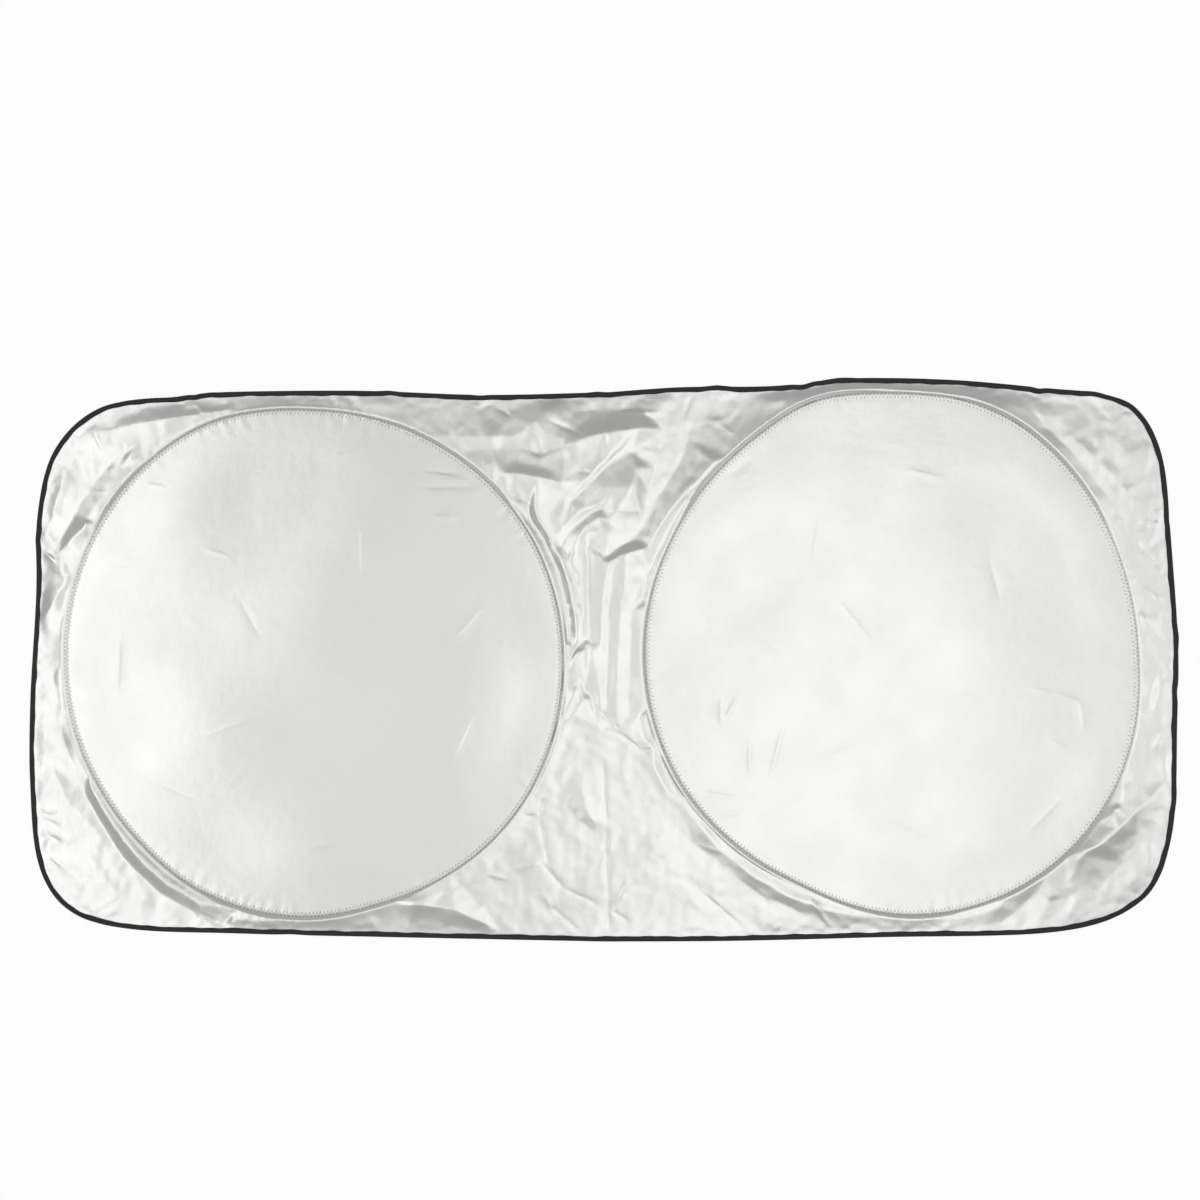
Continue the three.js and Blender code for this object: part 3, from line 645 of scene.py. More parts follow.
def fold_net():
    """The loose cloth before it settles, as flat facets between its crests and valleys, the hoops and the
    tape."""
    points, edges = [], []

    def add(line, closed=False):
        first = len(points)
        points.extend(map(tuple, line))
        edges.extend((i, i + 1) for i in range(first, len(points) - 1))
        if closed:
            edges.append((len(points) - 1, first))

    for side, hoop in HOOPS.items():
        degrees = np.arange(0, 360, 2)
        levels = np.interp(degrees, *np.array(FOOT_LEVELS[side], float).T, period=360)
        add(np.column_stack([on_ring(hoop, np.radians(degrees), RING_FOOT), levels]), True)
    rim = EDGE_LINE[:, :2] + TAPE_MARGIN * inwards(EDGE_LINE)
    add(np.column_stack([rim, SHEET_IN_TAPE + EDGE_LINE[:, 2]])[::4], True)
    for line in FOLDS:
        spots = np.array(line, float)
        clear = beside_hoops(spots[:, :2]) > RING_FOOT + 1.5
        clear &= edge_distance(spots[:, :2], EDGE_LINE)[0] > TAPE_MARGIN + 2
        # A line that runs too near a hoop or the tape is cut there
        cuts = np.flatnonzero(~clear)
        for part, free in zip(np.split(spots, cuts), np.split(clear, cuts)):
            if free.any():
                add(part[free])
    flat = [Vector(spot[:2]) for spot in points]
    spots, borders, faces, sources = geometry.delaunay_2d_cdt(flat, edges, [], 0, 1e-4)[:4]
    heights = [np.mean([points[i][2] for i in source]) if source else None for source in sources]
    beside = [[] for _ in spots]
    for a, b in borders:
        beside[a].append(b)
        beside[b].append(a)
    for i, height in enumerate(heights):
        if height is None:
            heights[i] = np.mean([heights[j] for j in beside[i] if heights[j] is not None])
    return bvhtree.BVHTree.FromPolygons([(*spot, height) for spot, height in zip(spots, heights)], faces)


FOLDS = tuple(tuple((*on_sheet(x, y), height) for x, y, height in line) for line in FOLD_PIXELS)
CREASES = tuple((tuple(on_sheet(*spot) for spot in line), rise) for line, rise in CREASE_PIXELS)
HOOPS = {side: read_hoop(side) for side in ("left", "right")}
EDGE_LINE = kinked(resampled(read_edge(), EDGE_STEP))
EDGE_LINE[:, 2] += TAPE_LIFT
FOLD_NET = fold_net()


def height_at(surface, x, y, above):
    """Where a surface is hit straight down from above a place."""
    return surface.ray_cast(Vector((x, y, above)), Vector((0, 0, -1)))[0]


def fold_level(points):
    """Height of the facets at each point, with their edges rounded a little."""
    turns = math.pi * np.arange(6) / 3
    stencil = [(0.0, 0.0)] + [(FOLD_BLUNTING * math.cos(t), FOLD_BLUNTING * math.sin(t)) for t in turns]
    levels = np.full(len(points), FOOT_LEVEL)
    for i, (x, y) in enumerate(points):
        hits = [height_at(FOLD_NET, x + dx, y + dy, 100) for dx, dy in stencil]
        found = [hit.z for hit in hits if hit is not None]
        if found:
            levels[i] = sum(found) / len(found)
    return levels + (FOLD_SCALE - 1) * np.maximum(levels - FOOT_LEVEL, 0)


def ring_waves(angle, first, last, seed, count=9):
    """An uneven ripple round a hoop, of about unit size, from waves with whole numbers of turns."""
    rng = np.random.default_rng(seed)
    total = np.zeros(len(angle))
    for _ in range(count):
        total += np.sin(rng.integers(first, last) * angle + rng.uniform(0, 2 * math.pi))
    return 1.4 * np.tanh(total * math.sqrt(2 / count) / 1.4)


def hump(outside, middle, reach, power=2):
    """A rise of unit height beside a hoop."""
    return np.exp(-(((outside - middle) / reach) ** power))


def ring_profile(outside, angle, side):
    """Height of the sheet round a hoop: the disc, the ridge over the wire with the pulled-down seam inside it,
    and apart from these the short puckers that the zigzag stitching draws."""
    hoop = HOOPS[side]
    seed = 40 + 10 * list(HOOPS).index(side)
    turn = np.angle(np.exp(1j * (angle - math.radians(JOINT_ANGLES[side]))))
    sleeve = 1 - smooth((np.abs(turn) * hoop["radius"] - SLEEVE_LEAD) / SLEEVE_EASE)
    crest = CREST_LEVEL + SLEEVE_CREST * sleeve
    base = np.where(outside < 0, DISC_LEVEL, 0)
    reach = np.where(outside < 0, RIDGE_INNER_REACH, RIDGE_REACH)
    ridge = base + (crest - base) * np.exp(-((np.abs(outside) / reach) ** 2.2))
    seam = -0.16 * hump(outside, -6, 3.0, 4) - 0.1 * hump(outside, -3.6, 0.9)
    strength = np.clip(0.55 + 0.5 * ring_waves(angle, 2, 14, seed), 0.1, 1.4)
    fine = ring_waves(angle, 130, 185, seed + 1)
    broad = ring_waves(angle, 60, 110, seed + 2)
    near, far, over = hump(outside, -10, 5.5), hump(outside, -15, 10), hump(outside, 3, 4)
    pucker = strength * (0.17 * fine * near + 0.14 * broad * far + 0.12 * fine * over)
    return ridge + seam, pucker


def sheet_level(points):
    """Underside of the sheet at each point before the cloth settles, and which points are held."""
    beside = np.full(len(points), np.inf)
    ring, pucker = np.zeros(len(points)), np.zeros(len(points))
    for side, hoop in HOOPS.items():
        outside, angle = beside_ring(hoop, points)
        nearer = outside < beside
        own_ring, own_pucker = ring_profile(outside, angle, side)
        ring[nearer] = own_ring[nearer]
        pucker += own_pucker
        beside = np.minimum(beside, outside)
    gap, place = edge_distance(points, EDGE_LINE)
    free = smooth((beside - 4) / 12) * smooth((gap - TAPE_MARGIN) / 12)
    ripple = 0.45 * wave_field(points, 95, 3) + 0.13 * wave_field(points, 36, 4) + 0.05 * wave_field(points, 17, 8)
    creases = crease_rise(points)
    folds = fold_level(points) + free * (ripple + creases)
    folds *= smooth((beside + 0.8) / 1.8)
    held = gap < TAPE_MARGIN
    folds[held] = SHEET_IN_TAPE + EDGE_LINE[place[held], 2]
    # Gathers along the tape, and the soft rolls and creases of the discs
    gather = 0.22 * wave_field(points, 16, 5) * hump(gap - TAPE_MARGIN, 4, 5) * smooth((gap - TAPE_MARGIN) / 4)
    dome = 0.7 * wave_field(points, 240, 6) * smooth((-beside - 20) / 60)
    crease = creases * smooth((-beside - 12) / 12)
    level = np.where(beside > -1, (np.maximum(ring, 0) ** 8 + np.maximum(folds, 0) ** 8) ** (1 / 8), ring)
    level += pucker + dome + crease + gather * smooth((beside - 3) / 8)
    over_casing = (beside > -13) & (beside < 0)
    level[over_casing] = np.maximum(level[over_casing], CASING_TOP)
    fixed = (beside < 2.0) | (gap < TAPE_MARGIN - 1)
    return np.maximum(level, LOWEST), fixed


def inside_line(points, line):
    """Whether each point lies inside a closed line."""
    x, y = points[:, 0], points[:, 1]
    inside = np.zeros(len(points), bool)
    for a, b in zip(line, np.roll(line, -1, axis=0)):
        crosses = (a[1] > y) != (b[1] > y)
        if a[1] != b[1]:
            inside ^= crosses & (x < (b[0] - a[0]) * (y - a[1]) / (b[1] - a[1]) + a[0])
    return inside


def hexagonal(step):
    """Points of a triangular net over the whole sheet."""
    columns = np.arange(-HALF[0], HALF[0], step)
    rows = np.arange(-HALF[1], HALF[1], step * math.sqrt(3) / 2)
    net = [np.column_stack([columns + (i % 2) * step / 2, np.full(len(columns), y)]) for i, y in enumerate(rows)]
    return np.vstack(net)


def sheet_points(edge_rows, ring_rows, ring_step, loose_step, disc_step, edge_step=1, with_creases=False):
    """Points of a sheet mesh: rows along the edge and round the hoops, and a net between them. The first
    row is the sheet's rim."""
    line = EDGE_LINE[::edge_step]
    normal = inwards(line)
    rows = [line[:, :2] + (SHEET_IN_TAPE + depth) * normal for depth in edge_rows]
    last_row = SHEET_IN_TAPE + edge_rows[-1]
    rings = []
    for hoop in HOOPS.values():
        count = int(2 * math.pi * hoop["radius"] / ring_step)
        for i, outwards in enumerate(ring_rows):
            angle = 2 * math.pi * (np.arange(count) + (i % 2) / 2) / count
            spots = on_ring(hoop, angle, outwards)
            if outwards > 3:
                spots = spots[edge_distance(spots, EDGE_LINE)[0] > last_row + 1.6]
            rings.append(spots)
    loose = hexagonal(loose_step)
    loose = loose[beside_hoops(loose) > ring_rows[-1] + loose_step / 2]
    limit = EDGE_LINE[:, :2] + (last_row + loose_step / 2) * inwards(EDGE_LINE)
    loose = loose[inside_line(loose, limit)]
    discs = hexagonal(disc_step)
    discs = discs[beside_hoops(discs) < ring_rows[0] - disc_step / 2]
    if not with_creases:
        return np.vstack([*rows, *rings, loose, discs]), len(line)
    marks = line_points([line for line, _ in CREASES], 4.0, (0.0, -2.4, 2.4, -5.0, 5.0))
    marks = np.vstack([marks, line_points(FOLDS, 3.6, (0.0, -2.2, 2.2))])
    beside = beside_hoops(marks)
    inner = EDGE_LINE[:, :2] + (last_row + 2) * inwards(EDGE_LINE)
    marks = marks[((beside < ring_rows[0] - 3) | (beside > ring_rows[-1] + 2)) & inside_line(marks, inner)]
    marks = thinned(marks, 1.9)
    loose = thinned(loose, 3.0, marks)
    discs = thinned(discs, 5.5, marks)
    return np.vstack([*rows, *rings, marks, loose, discs]), len(line)


def triangulated(points, rim):
    """Triangles over the points, inside the rim that the first points make."""
    border = [(i, (i + 1) % rim) for i in range(rim)]
    result = geometry.delaunay_2d_cdt([Vector(point) for point in points], border, [], 1, 1e-5)
    return np.array([tuple(spot) for spot in result[0]]), result[2]


def carried(fine, flat, moved):
    """Moves fine points as the coarse points round them moved, weighted by nearness."""
    tree = kdtree.KDTree(len(flat))
    for i, (x, y) in enumerate(flat):
        tree.insert((x, y, 0), i)
    tree.balance()
    result = np.empty((len(fine), 3))
    for i, (x, y) in enumerate(fine):
        found = tree.find_n((x, y, 0), 9)
        index = [entry[1] for entry in found]
        gap = np.array([entry[2] for entry in found])
        weight = np.exp(-((gap / (0.62 * gap[3])) ** 2))
        result[i] = weight @ moved[index] / weight.sum()
    return result


def new_mesh(name, points, faces, material=None):
    """A mesh object from points in millimetres and faces, smooth shaded."""
    mesh = bpy.data.meshes.new(name)
    mesh.from_pydata((np.asarray(points) * MM).tolist(), [], [list(map(int, face)) for face in faces])
    mesh.validate()
    mesh.shade_smooth()
    if material:
        mesh.materials.append(material)
    piece = bpy.data.objects.new(name, mesh)
    bpy.context.scene.collection.objects.link(piece)
    return piece


def settle(points, faces, held, rest):
    """Lets the loose cloth settle between its held parts, by a cloth simulation whose result is kept."""
    piece = new_mesh("settling", points, faces)
    piece.shape_key_add(name="start")
    key = piece.shape_key_add(name="rest")
    key.data.foreach_set("co", (rest * MM).ravel())
    group = piece.vertex_groups.new(name="held")
    group.add(np.flatnonzero(held).tolist(), 1.0, "REPLACE")
    bpy.ops.object.select_all(action="DESELECT")
    bpy.ops.mesh.primitive_plane_add(size=4, location=(0, 0, -TABLE_CLEARANCE * MM))
    table = bpy.context.object
    table.modifiers.new("table", "COLLISION")
    table.collision.thickness_outer = 0.001
    table.collision.cloth_friction = 12
    cloth = piece.modifiers.new("settle", "CLOTH")
    for name, value in SETTLE_CLOTH.items():
        setattr(cloth.settings, name, value)
    cloth.settings.rest_shape_key = key
    cloth.collision_settings.distance_min = 0.001
    cloth.collision_settings.collision_quality = 1
    cloth.point_cache.frame_start = 1
    cloth.point_cache.frame_end = SETTLE_FRAMES
    scene = bpy.context.scene
    for step in range(1, SETTLE_FRAMES + 1):
        scene.frame_set(step)
    settled = piece.evaluated_get(bpy.context.evaluated_depsgraph_get()).data
    end = np.empty(3 * len(settled.vertices))
    settled.vertices.foreach_get("co", end)
    for spent in (table, piece):
        bpy.data.objects.remove(spent, do_unlink=True)
    scene.frame_set(1)
    return end.reshape(-1, 3) / MM


def add_node(nodes, kind, settings=None, links=None):
    """Adds a shader node with its settings, and links from other nodes' outputs to its inputs."""
    node = nodes.new(kind)
    for key, value in (settings or {}).items():
        if isinstance(key, int) or key in node.inputs:
            node.inputs[key].default_value = value
        else:
            setattr(node, key, value)
    for key, source in (links or {}).items():
        node.id_data.links.new(source, node.inputs[key])
    return node


def new_material(name):
    material = bpy.data.materials.new(name)
    material.use_nodes = True
    material.node_tree.nodes.clear()
    return material, material.node_tree.nodes


def wave_scale(pitch):
    """The Scale at which a wave texture's bands stand one pitch apart."""
    return 2 * math.pi / (20 * pitch)


def woven_ribs(nodes, place, distortion):
    """The threads of a plain weave, both ways."""
    return [
        add_node(
            nodes, "ShaderNodeTexWave",
            {"bands_direction": direction, "Scale": wave_scale(SHOWN_THREAD_PITCH * MM), "Distortion": distortion},
            {"Vector": place.outputs["Object"]},
        ).outputs["Fac"]
        for direction in ("X", "Y")
    ]


def silver_taffeta(colours):
    """Plain-woven polyester with an aluminium coating: a soft metallic sheen, with the weave showing
    through as fine ribs both ways and the coating a little uneven."""
    material, nodes = new_material("silver_coated_taffeta")
    place = add_node(nodes, "ShaderNodeTexCoord")
    spot = {"Vector": place.outputs["Object"]}
    # Real sizes: clouds in the coating about 71 mm across, crumples 14 mm and loose wrinkles 42 mm
    clouds = add_node(nodes, "ShaderNodeTexNoise", {"Scale": 14.0, "Detail": 4.0, "Roughness": 0.6}, spot)
    pale = add_node(
        nodes, "ShaderNodeMix", {"data_type": "RGBA", 6: linear(colours.silver), 7: linear("E1E2DF")},
        {0: clouds.outputs["Fac"]},
    )
    rough = add_node(
        nodes, "ShaderNodeMapRange", {"To Min": 0.31, "To Max": 0.37}, {"Value": clouds.outputs["Fac"]}
    )
    ribs = woven_ribs(nodes, place, 0.4)
    weave = add_node(nodes, "ShaderNodeMath", {"operation": "ADD"}, {0: ribs[0], 1: ribs[1]})
    weave_bump = add_node(
        nodes, "ShaderNodeBump", {"Strength": 0.12, "Distance": 0.1 * MM}, {"Height": weave.outputs["Value"]}
    )
    crumple = add_node(nodes, "ShaderNodeTexNoise", {"Scale": 70.0, "Detail": 2.0, "Roughness": 0.45}, spot)
    crumple_bump = add_node(
        nodes, "ShaderNodeBump", {"Strength": 0.22, "Distance": 1.0 * MM},
        {"Height": crumple.outputs["Fac"], "Normal": weave_bump.outputs["Normal"]},
    )
    # Sharp little wrinkles, only where the cloth lies loose
    loose = add_node(nodes, "ShaderNodeAttribute", {"attribute_name": "looseness"})
    share = add_node(nodes, "ShaderNodeMath", {"operation": "MULTIPLY", 1: 0.6}, {0: loose.outputs["Fac"]})
    wrinkle = add_node(
        nodes, "ShaderNodeTexNoise",
        {"noise_type": "RIDGED_MULTIFRACTAL", "Scale": 24.0, "Detail": 3.0, "Roughness": 0.5, "Distortion": 0.6},
        spot,
    )
    wrinkle_bump = add_node(
        nodes, "ShaderNodeBump", {"Distance": 1.6 * MM},
        {
            "Height": wrinkle.outputs["Fac"],
            "Strength": share.outputs["Value"],
            "Normal": crumple_bump.outputs["Normal"],
        },
    )
    look = {
        "Base Color": pale.outputs[2],
        "Roughness": rough.outputs["Result"],
        "Normal": wrinkle_bump.outputs["Normal"],
    }
    shader = add_node(nodes, "ShaderNodeBsdfPrincipled", {"Metallic": 0.8}, look)
    add_node(nodes, "ShaderNodeOutputMaterial", None, {"Surface": shader.outputs["BSDF"]})
    return material


def two_tones(nodes, share, codes, depths, shine):
    """Finishes a textile's material: two near tones and a bump, both of which follow its threads."""
    tone = add_node(
        nodes, "ShaderNodeMix", {"data_type": "RGBA", 6: linear(codes[0]), 7: linear(codes[1])}, {0: share}
    )
    bump = add_node(
        nodes, "ShaderNodeBump", {"Strength": depths[0], "Distance": depths[1] * MM}, {"Height": share}
    )
    look = {"Base Color": tone.outputs[2], "Normal": bump.outputs["Normal"]}
    shader = add_node(
        nodes, "ShaderNodeBsdfPrincipled", {"Roughness": shine[0], "Sheen Weight": shine[1]}, look
    )
    add_node(nodes, "ShaderNodeOutputMaterial", None, {"Surface": shader.outputs["BSDF"]})


def black_tape(colours):
    """Woven polyester tape: matt near-black, with fine ribs across it."""
    material, nodes = new_material("black_woven_tape")
    place = add_node(nodes, "ShaderNodeUVMap", {"uv_map": "tape"})
    # The tape's own map is in millimetres
    ribs = add_node(
        nodes, "ShaderNodeTexWave",
        {"bands_direction": "X", "Scale": wave_scale(TAPE_RIB_PITCH), "Distortion": 0.3},
        {"Vector": place.outputs["UV"]},
    )
    two_tones(nodes, ribs.outputs["Fac"], (colours.tape, "2A282B"), (0.5, 0.15), (0.72, 0.15))
    return material


def twisted_thread(name, code, shade):
    """Twisted polyester thread: satin, with its plies showing as fine slanted bands."""
    material, nodes = new_material(name)
    place = add_node(nodes, "ShaderNodeTexCoord")
    plies = add_node(
        nodes, "ShaderNodeTexWave",
        {"bands_direction": "DIAGONAL", "Scale": wave_scale(PLY_PITCH * MM), "Distortion": 1.0},
        {"Vector": place.outputs["Object"]},
    )
    two_tones(nodes, plies.outputs["Fac"], (code, shade), (0.4, 0.08), (0.5, 0.1))
    return material


def needle_shadow():
    """Needle holes: a dark grey that is painted shade, standing for the shade in the small pits that the needle
    leaves in the pierced and pulled coating.
    """
    return twisted_thread("needle_hole_painted_shade", "626261", "747472")


def cloth_back():
    """The uncoated back of the cloth: pale grey polyester, soft and matt, with its plain weave."""
    material, nodes = new_material("uncoated_cloth_back")
    place = add_node(nodes, "ShaderNodeTexCoord")
    ribs = woven_ribs(nodes, place, 0.6)
    weave = add_node(nodes, "ShaderNodeMath", {"operation": "MULTIPLY"}, {0: ribs[0], 1: ribs[1]})
    two_tones(nodes, weave.outputs["Value"], ("A9AAA8", "BDBEBB"), (0.25, 0.1), (0.62, 0.2))
    return material


def spring_steel():
    """Drawn and tempered spring steel: dark, with a satin shine and faint streaks."""
    material, nodes = new_material("tempered_spring_steel")
    place = add_node(nodes, "ShaderNodeTexCoord")
    # The drawing marks are drawn 2.4 mm long, coarser than real ones, so that they show
    grain = add_node(
        nodes, "ShaderNodeTexNoise", {"Scale": 420.0, "Detail": 3.0}, {"Vector": place.outputs["Object"]}
    )
    tone = add_node(
        nodes, "ShaderNodeMix", {"data_type": "RGBA", 6: linear("77787A"), 7: linear("929395")},
        {0: grain.outputs["Fac"]},
    )
    rough = add_node(
        nodes, "ShaderNodeMapRange", {"To Min": 0.25, "To Max": 0.42}, {"Value": grain.outputs["Fac"]}
    )
    shader = add_node(
        nodes, "ShaderNodeBsdfPrincipled", {"Metallic": 1.0},
        {"Base Color": tone.outputs[2], "Roughness": rough.outputs["Result"]},
    )
    add_node(nodes, "ShaderNodeOutputMaterial", None, {"Surface": shader.outputs["BSDF"]})
    return material


def white_floor():
    """Smooth white paper: white to the camera and in reflections, with the object's shadow kept."""
    material, nodes = new_material("white_paper")
    path = add_node(nodes, "ShaderNodeLightPath").outputs
    larger = {"operation": "MAXIMUM"}
    seen = add_node(nodes, "ShaderNodeMath", larger, {0: path["Is Camera Ray"], 1: path["Is Glossy Ray"]})
    either = add_node(
        nodes, "ShaderNodeMath", larger, {0: seen.outputs["Value"], 1: path["Is Transmission Ray"]}
    )
    share = add_node(nodes, "ShaderNodeMath", {"operation": "MULTIPLY", 1: 0.94}, {0: either.outputs["Value"]})
    paper = add_node(nodes, "ShaderNodeBsdfDiffuse", {"Color": linear("F6F6F6")})
    glow = add_node(nodes, "ShaderNodeEmission", {"Color": linear("FFFFFF"), "Strength": 1.0})
    mixed = add_node(
        nodes, "ShaderNodeMixShader", None,
        {0: share.outputs["Value"], 1: paper.outputs["BSDF"], 2: glow.outputs["Emission"]},
    )
    add_node(nodes, "ShaderNodeOutputMaterial", None, {"Surface": mixed.outputs["Shader"]})
    return material


class SUNSHADE_OT_sheet(bpy.types.Operator):
    """Models the silver sheet with its folds"""

    bl_idname = "sunshade.sheet"
    bl_label = "Silver sheet"

    def execute(self, context):
        flat, faces = triangulated(
            *sheet_points(EDGE_ROWS, RING_ROWS, RING_STEP, SURROUND_STEP, DISC_STEP, with_creases=True)
        )
        points = np.column_stack([flat, sheet_level(flat)[0]])
        coarse, coarse_faces = triangulated(*sheet_points(*SETTLE_NET))
        level, fixed = sheet_level(coarse)
        start = np.column_stack([coarse, level])
        rest = start.copy()
        rest[:, 2] = LOOSE_LEVEL + (level - LOOSE_LEVEL) * SETTLE_SURPLUS
        end = settle(start, coarse_faces, fixed, rest)
        points += SETTLE_SHARE * carried(flat, coarse, end - start)
        points[:, 2] = np.maximum(points[:, 2], LOWEST)
        piece = new_mesh("silver_sheet", points, faces, silver_taffeta(context.scene.sunshade_colours))
        piece.data.materials.append(cloth_back())
        looseness = piece.data.attributes.new("looseness", "FLOAT", "POINT")
        looseness.data.foreach_set("value", smooth((beside_hoops(flat) - 2) / 10))
        thickness = piece.modifiers.new("gauge", "SOLIDIFY")
        thickness.thickness = context.scene.sunshade_sizes.cloth_gauge
        thickness.offset = 1.0
        thickness.material_offset = 1
        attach(piece, BODY)
        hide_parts("shade_panel")
        return {"FINISHED"}


class SUNSHADE_OT_edge_tape(bpy.types.Operator):
    """Models the black tape folded over the sheet's edge"""

    bl_idname = "sunshade.edge_tape"
    bl_label = "Edge tape"

    def execute(self, context):
        sizes = context.scene.sunshade_sizes
        width, gauge = sizes.tape_width / MM, sizes.tape_gauge / MM
        count = len(EDGE_LINE)
        run = np.concatenate([[0], np.cumsum(np.linalg.norm(np.diff(EDGE_LINE[:, :2], axis=0), axis=1))])
        into = inwards(EDGE_LINE)
        middle = EDGE_LINE[:, 2] + TAPE_MIDDLE
        rng = np.random.default_rng(11)
        around = 2 * math.pi * np.arange(count) / count
        waver = sum(
            0.35 * np.sin(k * around + rng.uniform(0, 6.3)) * rng.uniform(0.3, 1) for k in (23, 41, 67, 103, 151)
        )
        pucker = 0.12 * np.sin(run * 2 * math.pi / 11.0 + 2 * waver) + 0.08 * waver
        half = TAPE_MIDDLE
        mouth = half - gauge
        # Section of the folded tape, from its upper lip round the bend to its lower lip and back inside:
        # share of its width from the edge, height from its middle, and how far the puckers lift it
        section = (
            (1.0, half - 0.12, 1),
            (0.8, half, 1),
            (0.5, half - 0.02, 0.6),
            (0.2, half - 0.05, 0),
            (0.09, half * 0.72, 0),
            (0.0, 0.0, 0),
            (0.09, -half * 0.72, 0),
            (0.2, -half + 0.05, 0),
            (0.5, -half + 0.02, 0),
            (0.8, -half, 0),
            (1.0, -half + 0.12, 0),
            (0.99, -mouth, 0),
            (0.3, -mouth + 0.05, 0),
            (0.16, 0.0, 0),
            (0.3, mouth - 0.05, 0),
            (0.99, mouth, 1),
        )
        points = []
        for share, height, loose in section:
            depth = share * (width + waver * (share > 0.9))
            if share < 0.3:
                depth = share * TAPE_BEND_REACH / 0.3 * np.ones(count)
            spots = EDGE_LINE[:, :2] + depth[:, None] * into
            points.append(np.column_stack([spots, middle + height + loose * pucker]))
        points = np.stack(points, axis=1).reshape(-1, 3)
        sides = len(section)
        faces = []
        for i in range(count):
            j = (i + 1) % count
            for k in range(sides):
                n = (k + 1) % sides
                faces.append((i * sides + k, i * sides + n, j * sides + n, j * sides + k))
        piece = new_mesh("edge_tape", points, faces, black_tape(context.scene.sunshade_colours))
        # The tape's map runs along and across it in millimetres
        lay = piece.data.uv_layers.new(name="tape")
        for face in piece.data.polygons:
            i, k = divmod(face.index, sides)
            for loop, (a, b) in zip(face.loop_indices, ((0, 0), (0, 1), (1, 1), (1, 0))):
                lay.data[loop].uv = (run[i] + a * EDGE_STEP, (k + b) * 1.1)
        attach(piece, BODY)
        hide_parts("edge_binding")
        return {"FINISHED"}


def thread_mesh(runs, radius, sides=5):
    """Points and faces of round threads that follow the given runs of points, closed at both ends."""
    points, faces = [], []
    for run in runs:
        along = np.gradient(run, axis=0)
        along /= np.linalg.norm(along, axis=1)[:, None]
        across = np.column_stack([-along[:, 1], along[:, 0], np.zeros(len(run))])
        across /= np.maximum(np.linalg.norm(across, axis=1)[:, None], 1e-9)
        up = np.cross(along, across)
        base = len(points)
        reach = np.full(len(run), radius)
        reach[0] = reach[-1] = radius * 0.45
        for k in range(len(run)):
            for n in range(sides):
                turn = 2 * math.pi * n / sides
                points.append(run[k] + reach[k] * (math.cos(turn) * across[k] + math.sin(turn) * up[k]))
        for k in range(len(run) - 1):
            for n in range(sides):
                m = (n + 1) % sides
                a, b = base + k * sides, base + (k + 1) * sides
                faces.append((a + n, a + m, b + m, b + n))
        faces.append(tuple(base + n for n in reversed(range(sides))))
        faces.append(tuple(base + (len(run) - 1) * sides + n for n in range(sides)))
    return np.array(points), faces


def zigzag_stations(hoop, pitch, width, seed):
    """Needle places of a hoop's zigzag seam, a little uneven, in order round the hoop."""
    rng = np.random.default_rng(seed)
    count = 2 * int(math.pi * (hoop["radius"] - SEAM_INSIDE) * 2 / pitch)
    angle = 2 * math.pi * (np.arange(count) + rng.uniform(-0.12, 0.12, count)) / count
    side = np.where(np.arange(count) % 2 == 0, 0.5, -0.5)
    outwards = -SEAM_INSIDE + side * width + rng.uniform(-0.25, 0.25, count)
    return on_ring(hoop, angle, outwards)


class SUNSHADE_OT_hoop_seams(bpy.types.Operator):
    """Models the zigzag stitching round both hoops, with its needle holes"""

    bl_idname = "sunshade.hoop_seams"
    bl_label = "Hoop seams"

    def execute(self, context):
        sizes = context.scene.sunshade_sizes
        pitch, width = sizes.stitch_pitch / MM, sizes.stitch_width / MM
        sheet = bpy.data.objects["silver_sheet"].data
        surface = bvhtree.BVHTree.FromPolygons(
            [vertex.co for vertex in sheet.vertices], [face.vertices for face in sheet.polygons]
        )

        def cloth_top(x, y):
            return (height_at(surface, x * MM, y * MM, 1).z + sizes.cloth_gauge) / MM

        for number, (side, hoop) in enumerate(HOOPS.items()):
            needles = zigzag_stations(hoop, pitch, width, 21 + number)
            runs = []
            for a, b in zip(needles, np.roll(needles, -1, axis=0)):
                run = []
                for share, lift in ((0.03, -0.22), (0.12, 0.06), (0.5, 0.14), (0.88, 0.06), (0.97, -0.22)):
                    x, y = a + (b - a) * share
                    run.append((x, y, cloth_top(x, y) + lift))
                runs.append(np.array(run))
            points, faces = thread_mesh(runs, THREAD_RADIUS)
            threads = len(faces)
            # Each needle hole is a low closed cone of six sides, let into the cloth, and its dark grey is painted
            # shade of the pit
            spots, rims = [], []
            for x, y in needles:
                level = cloth_top(x, y)
                base = len(points) + len(spots)
                for n in range(6):
                    turn = math.pi * n / 3
                    spots.append((x + NEEDLE_HOLE * math.cos(turn), y + NEEDLE_HOLE * math.sin(turn), level - 0.1))
                spots += [(x, y, level + 0.1), (x, y, level - 0.25)]
                rims += [(base + n, base + (n + 1) % 6, base + 6) for n in range(6)]
                rims += [(base + (n + 1) % 6, base + n, base + 7) for n in range(6)]
            colours = context.scene.sunshade_colours
            thread = twisted_thread("grey_polyester_thread", colours.thread, "B0B0AC")
            piece = new_mesh(f"hoop_stitching_{side}", np.vstack([points, spots]), faces + rims, thread)
            # The needle holes take the second material, a dark grey that is painted shade where the pits in the
            # cloth lie in shade
            piece.data.materials.append(needle_shadow())
            for face in list(piece.data.polygons)[threads:]:
                face.material_index = 1
            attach(piece, BODY)
        return {"FINISHED"}


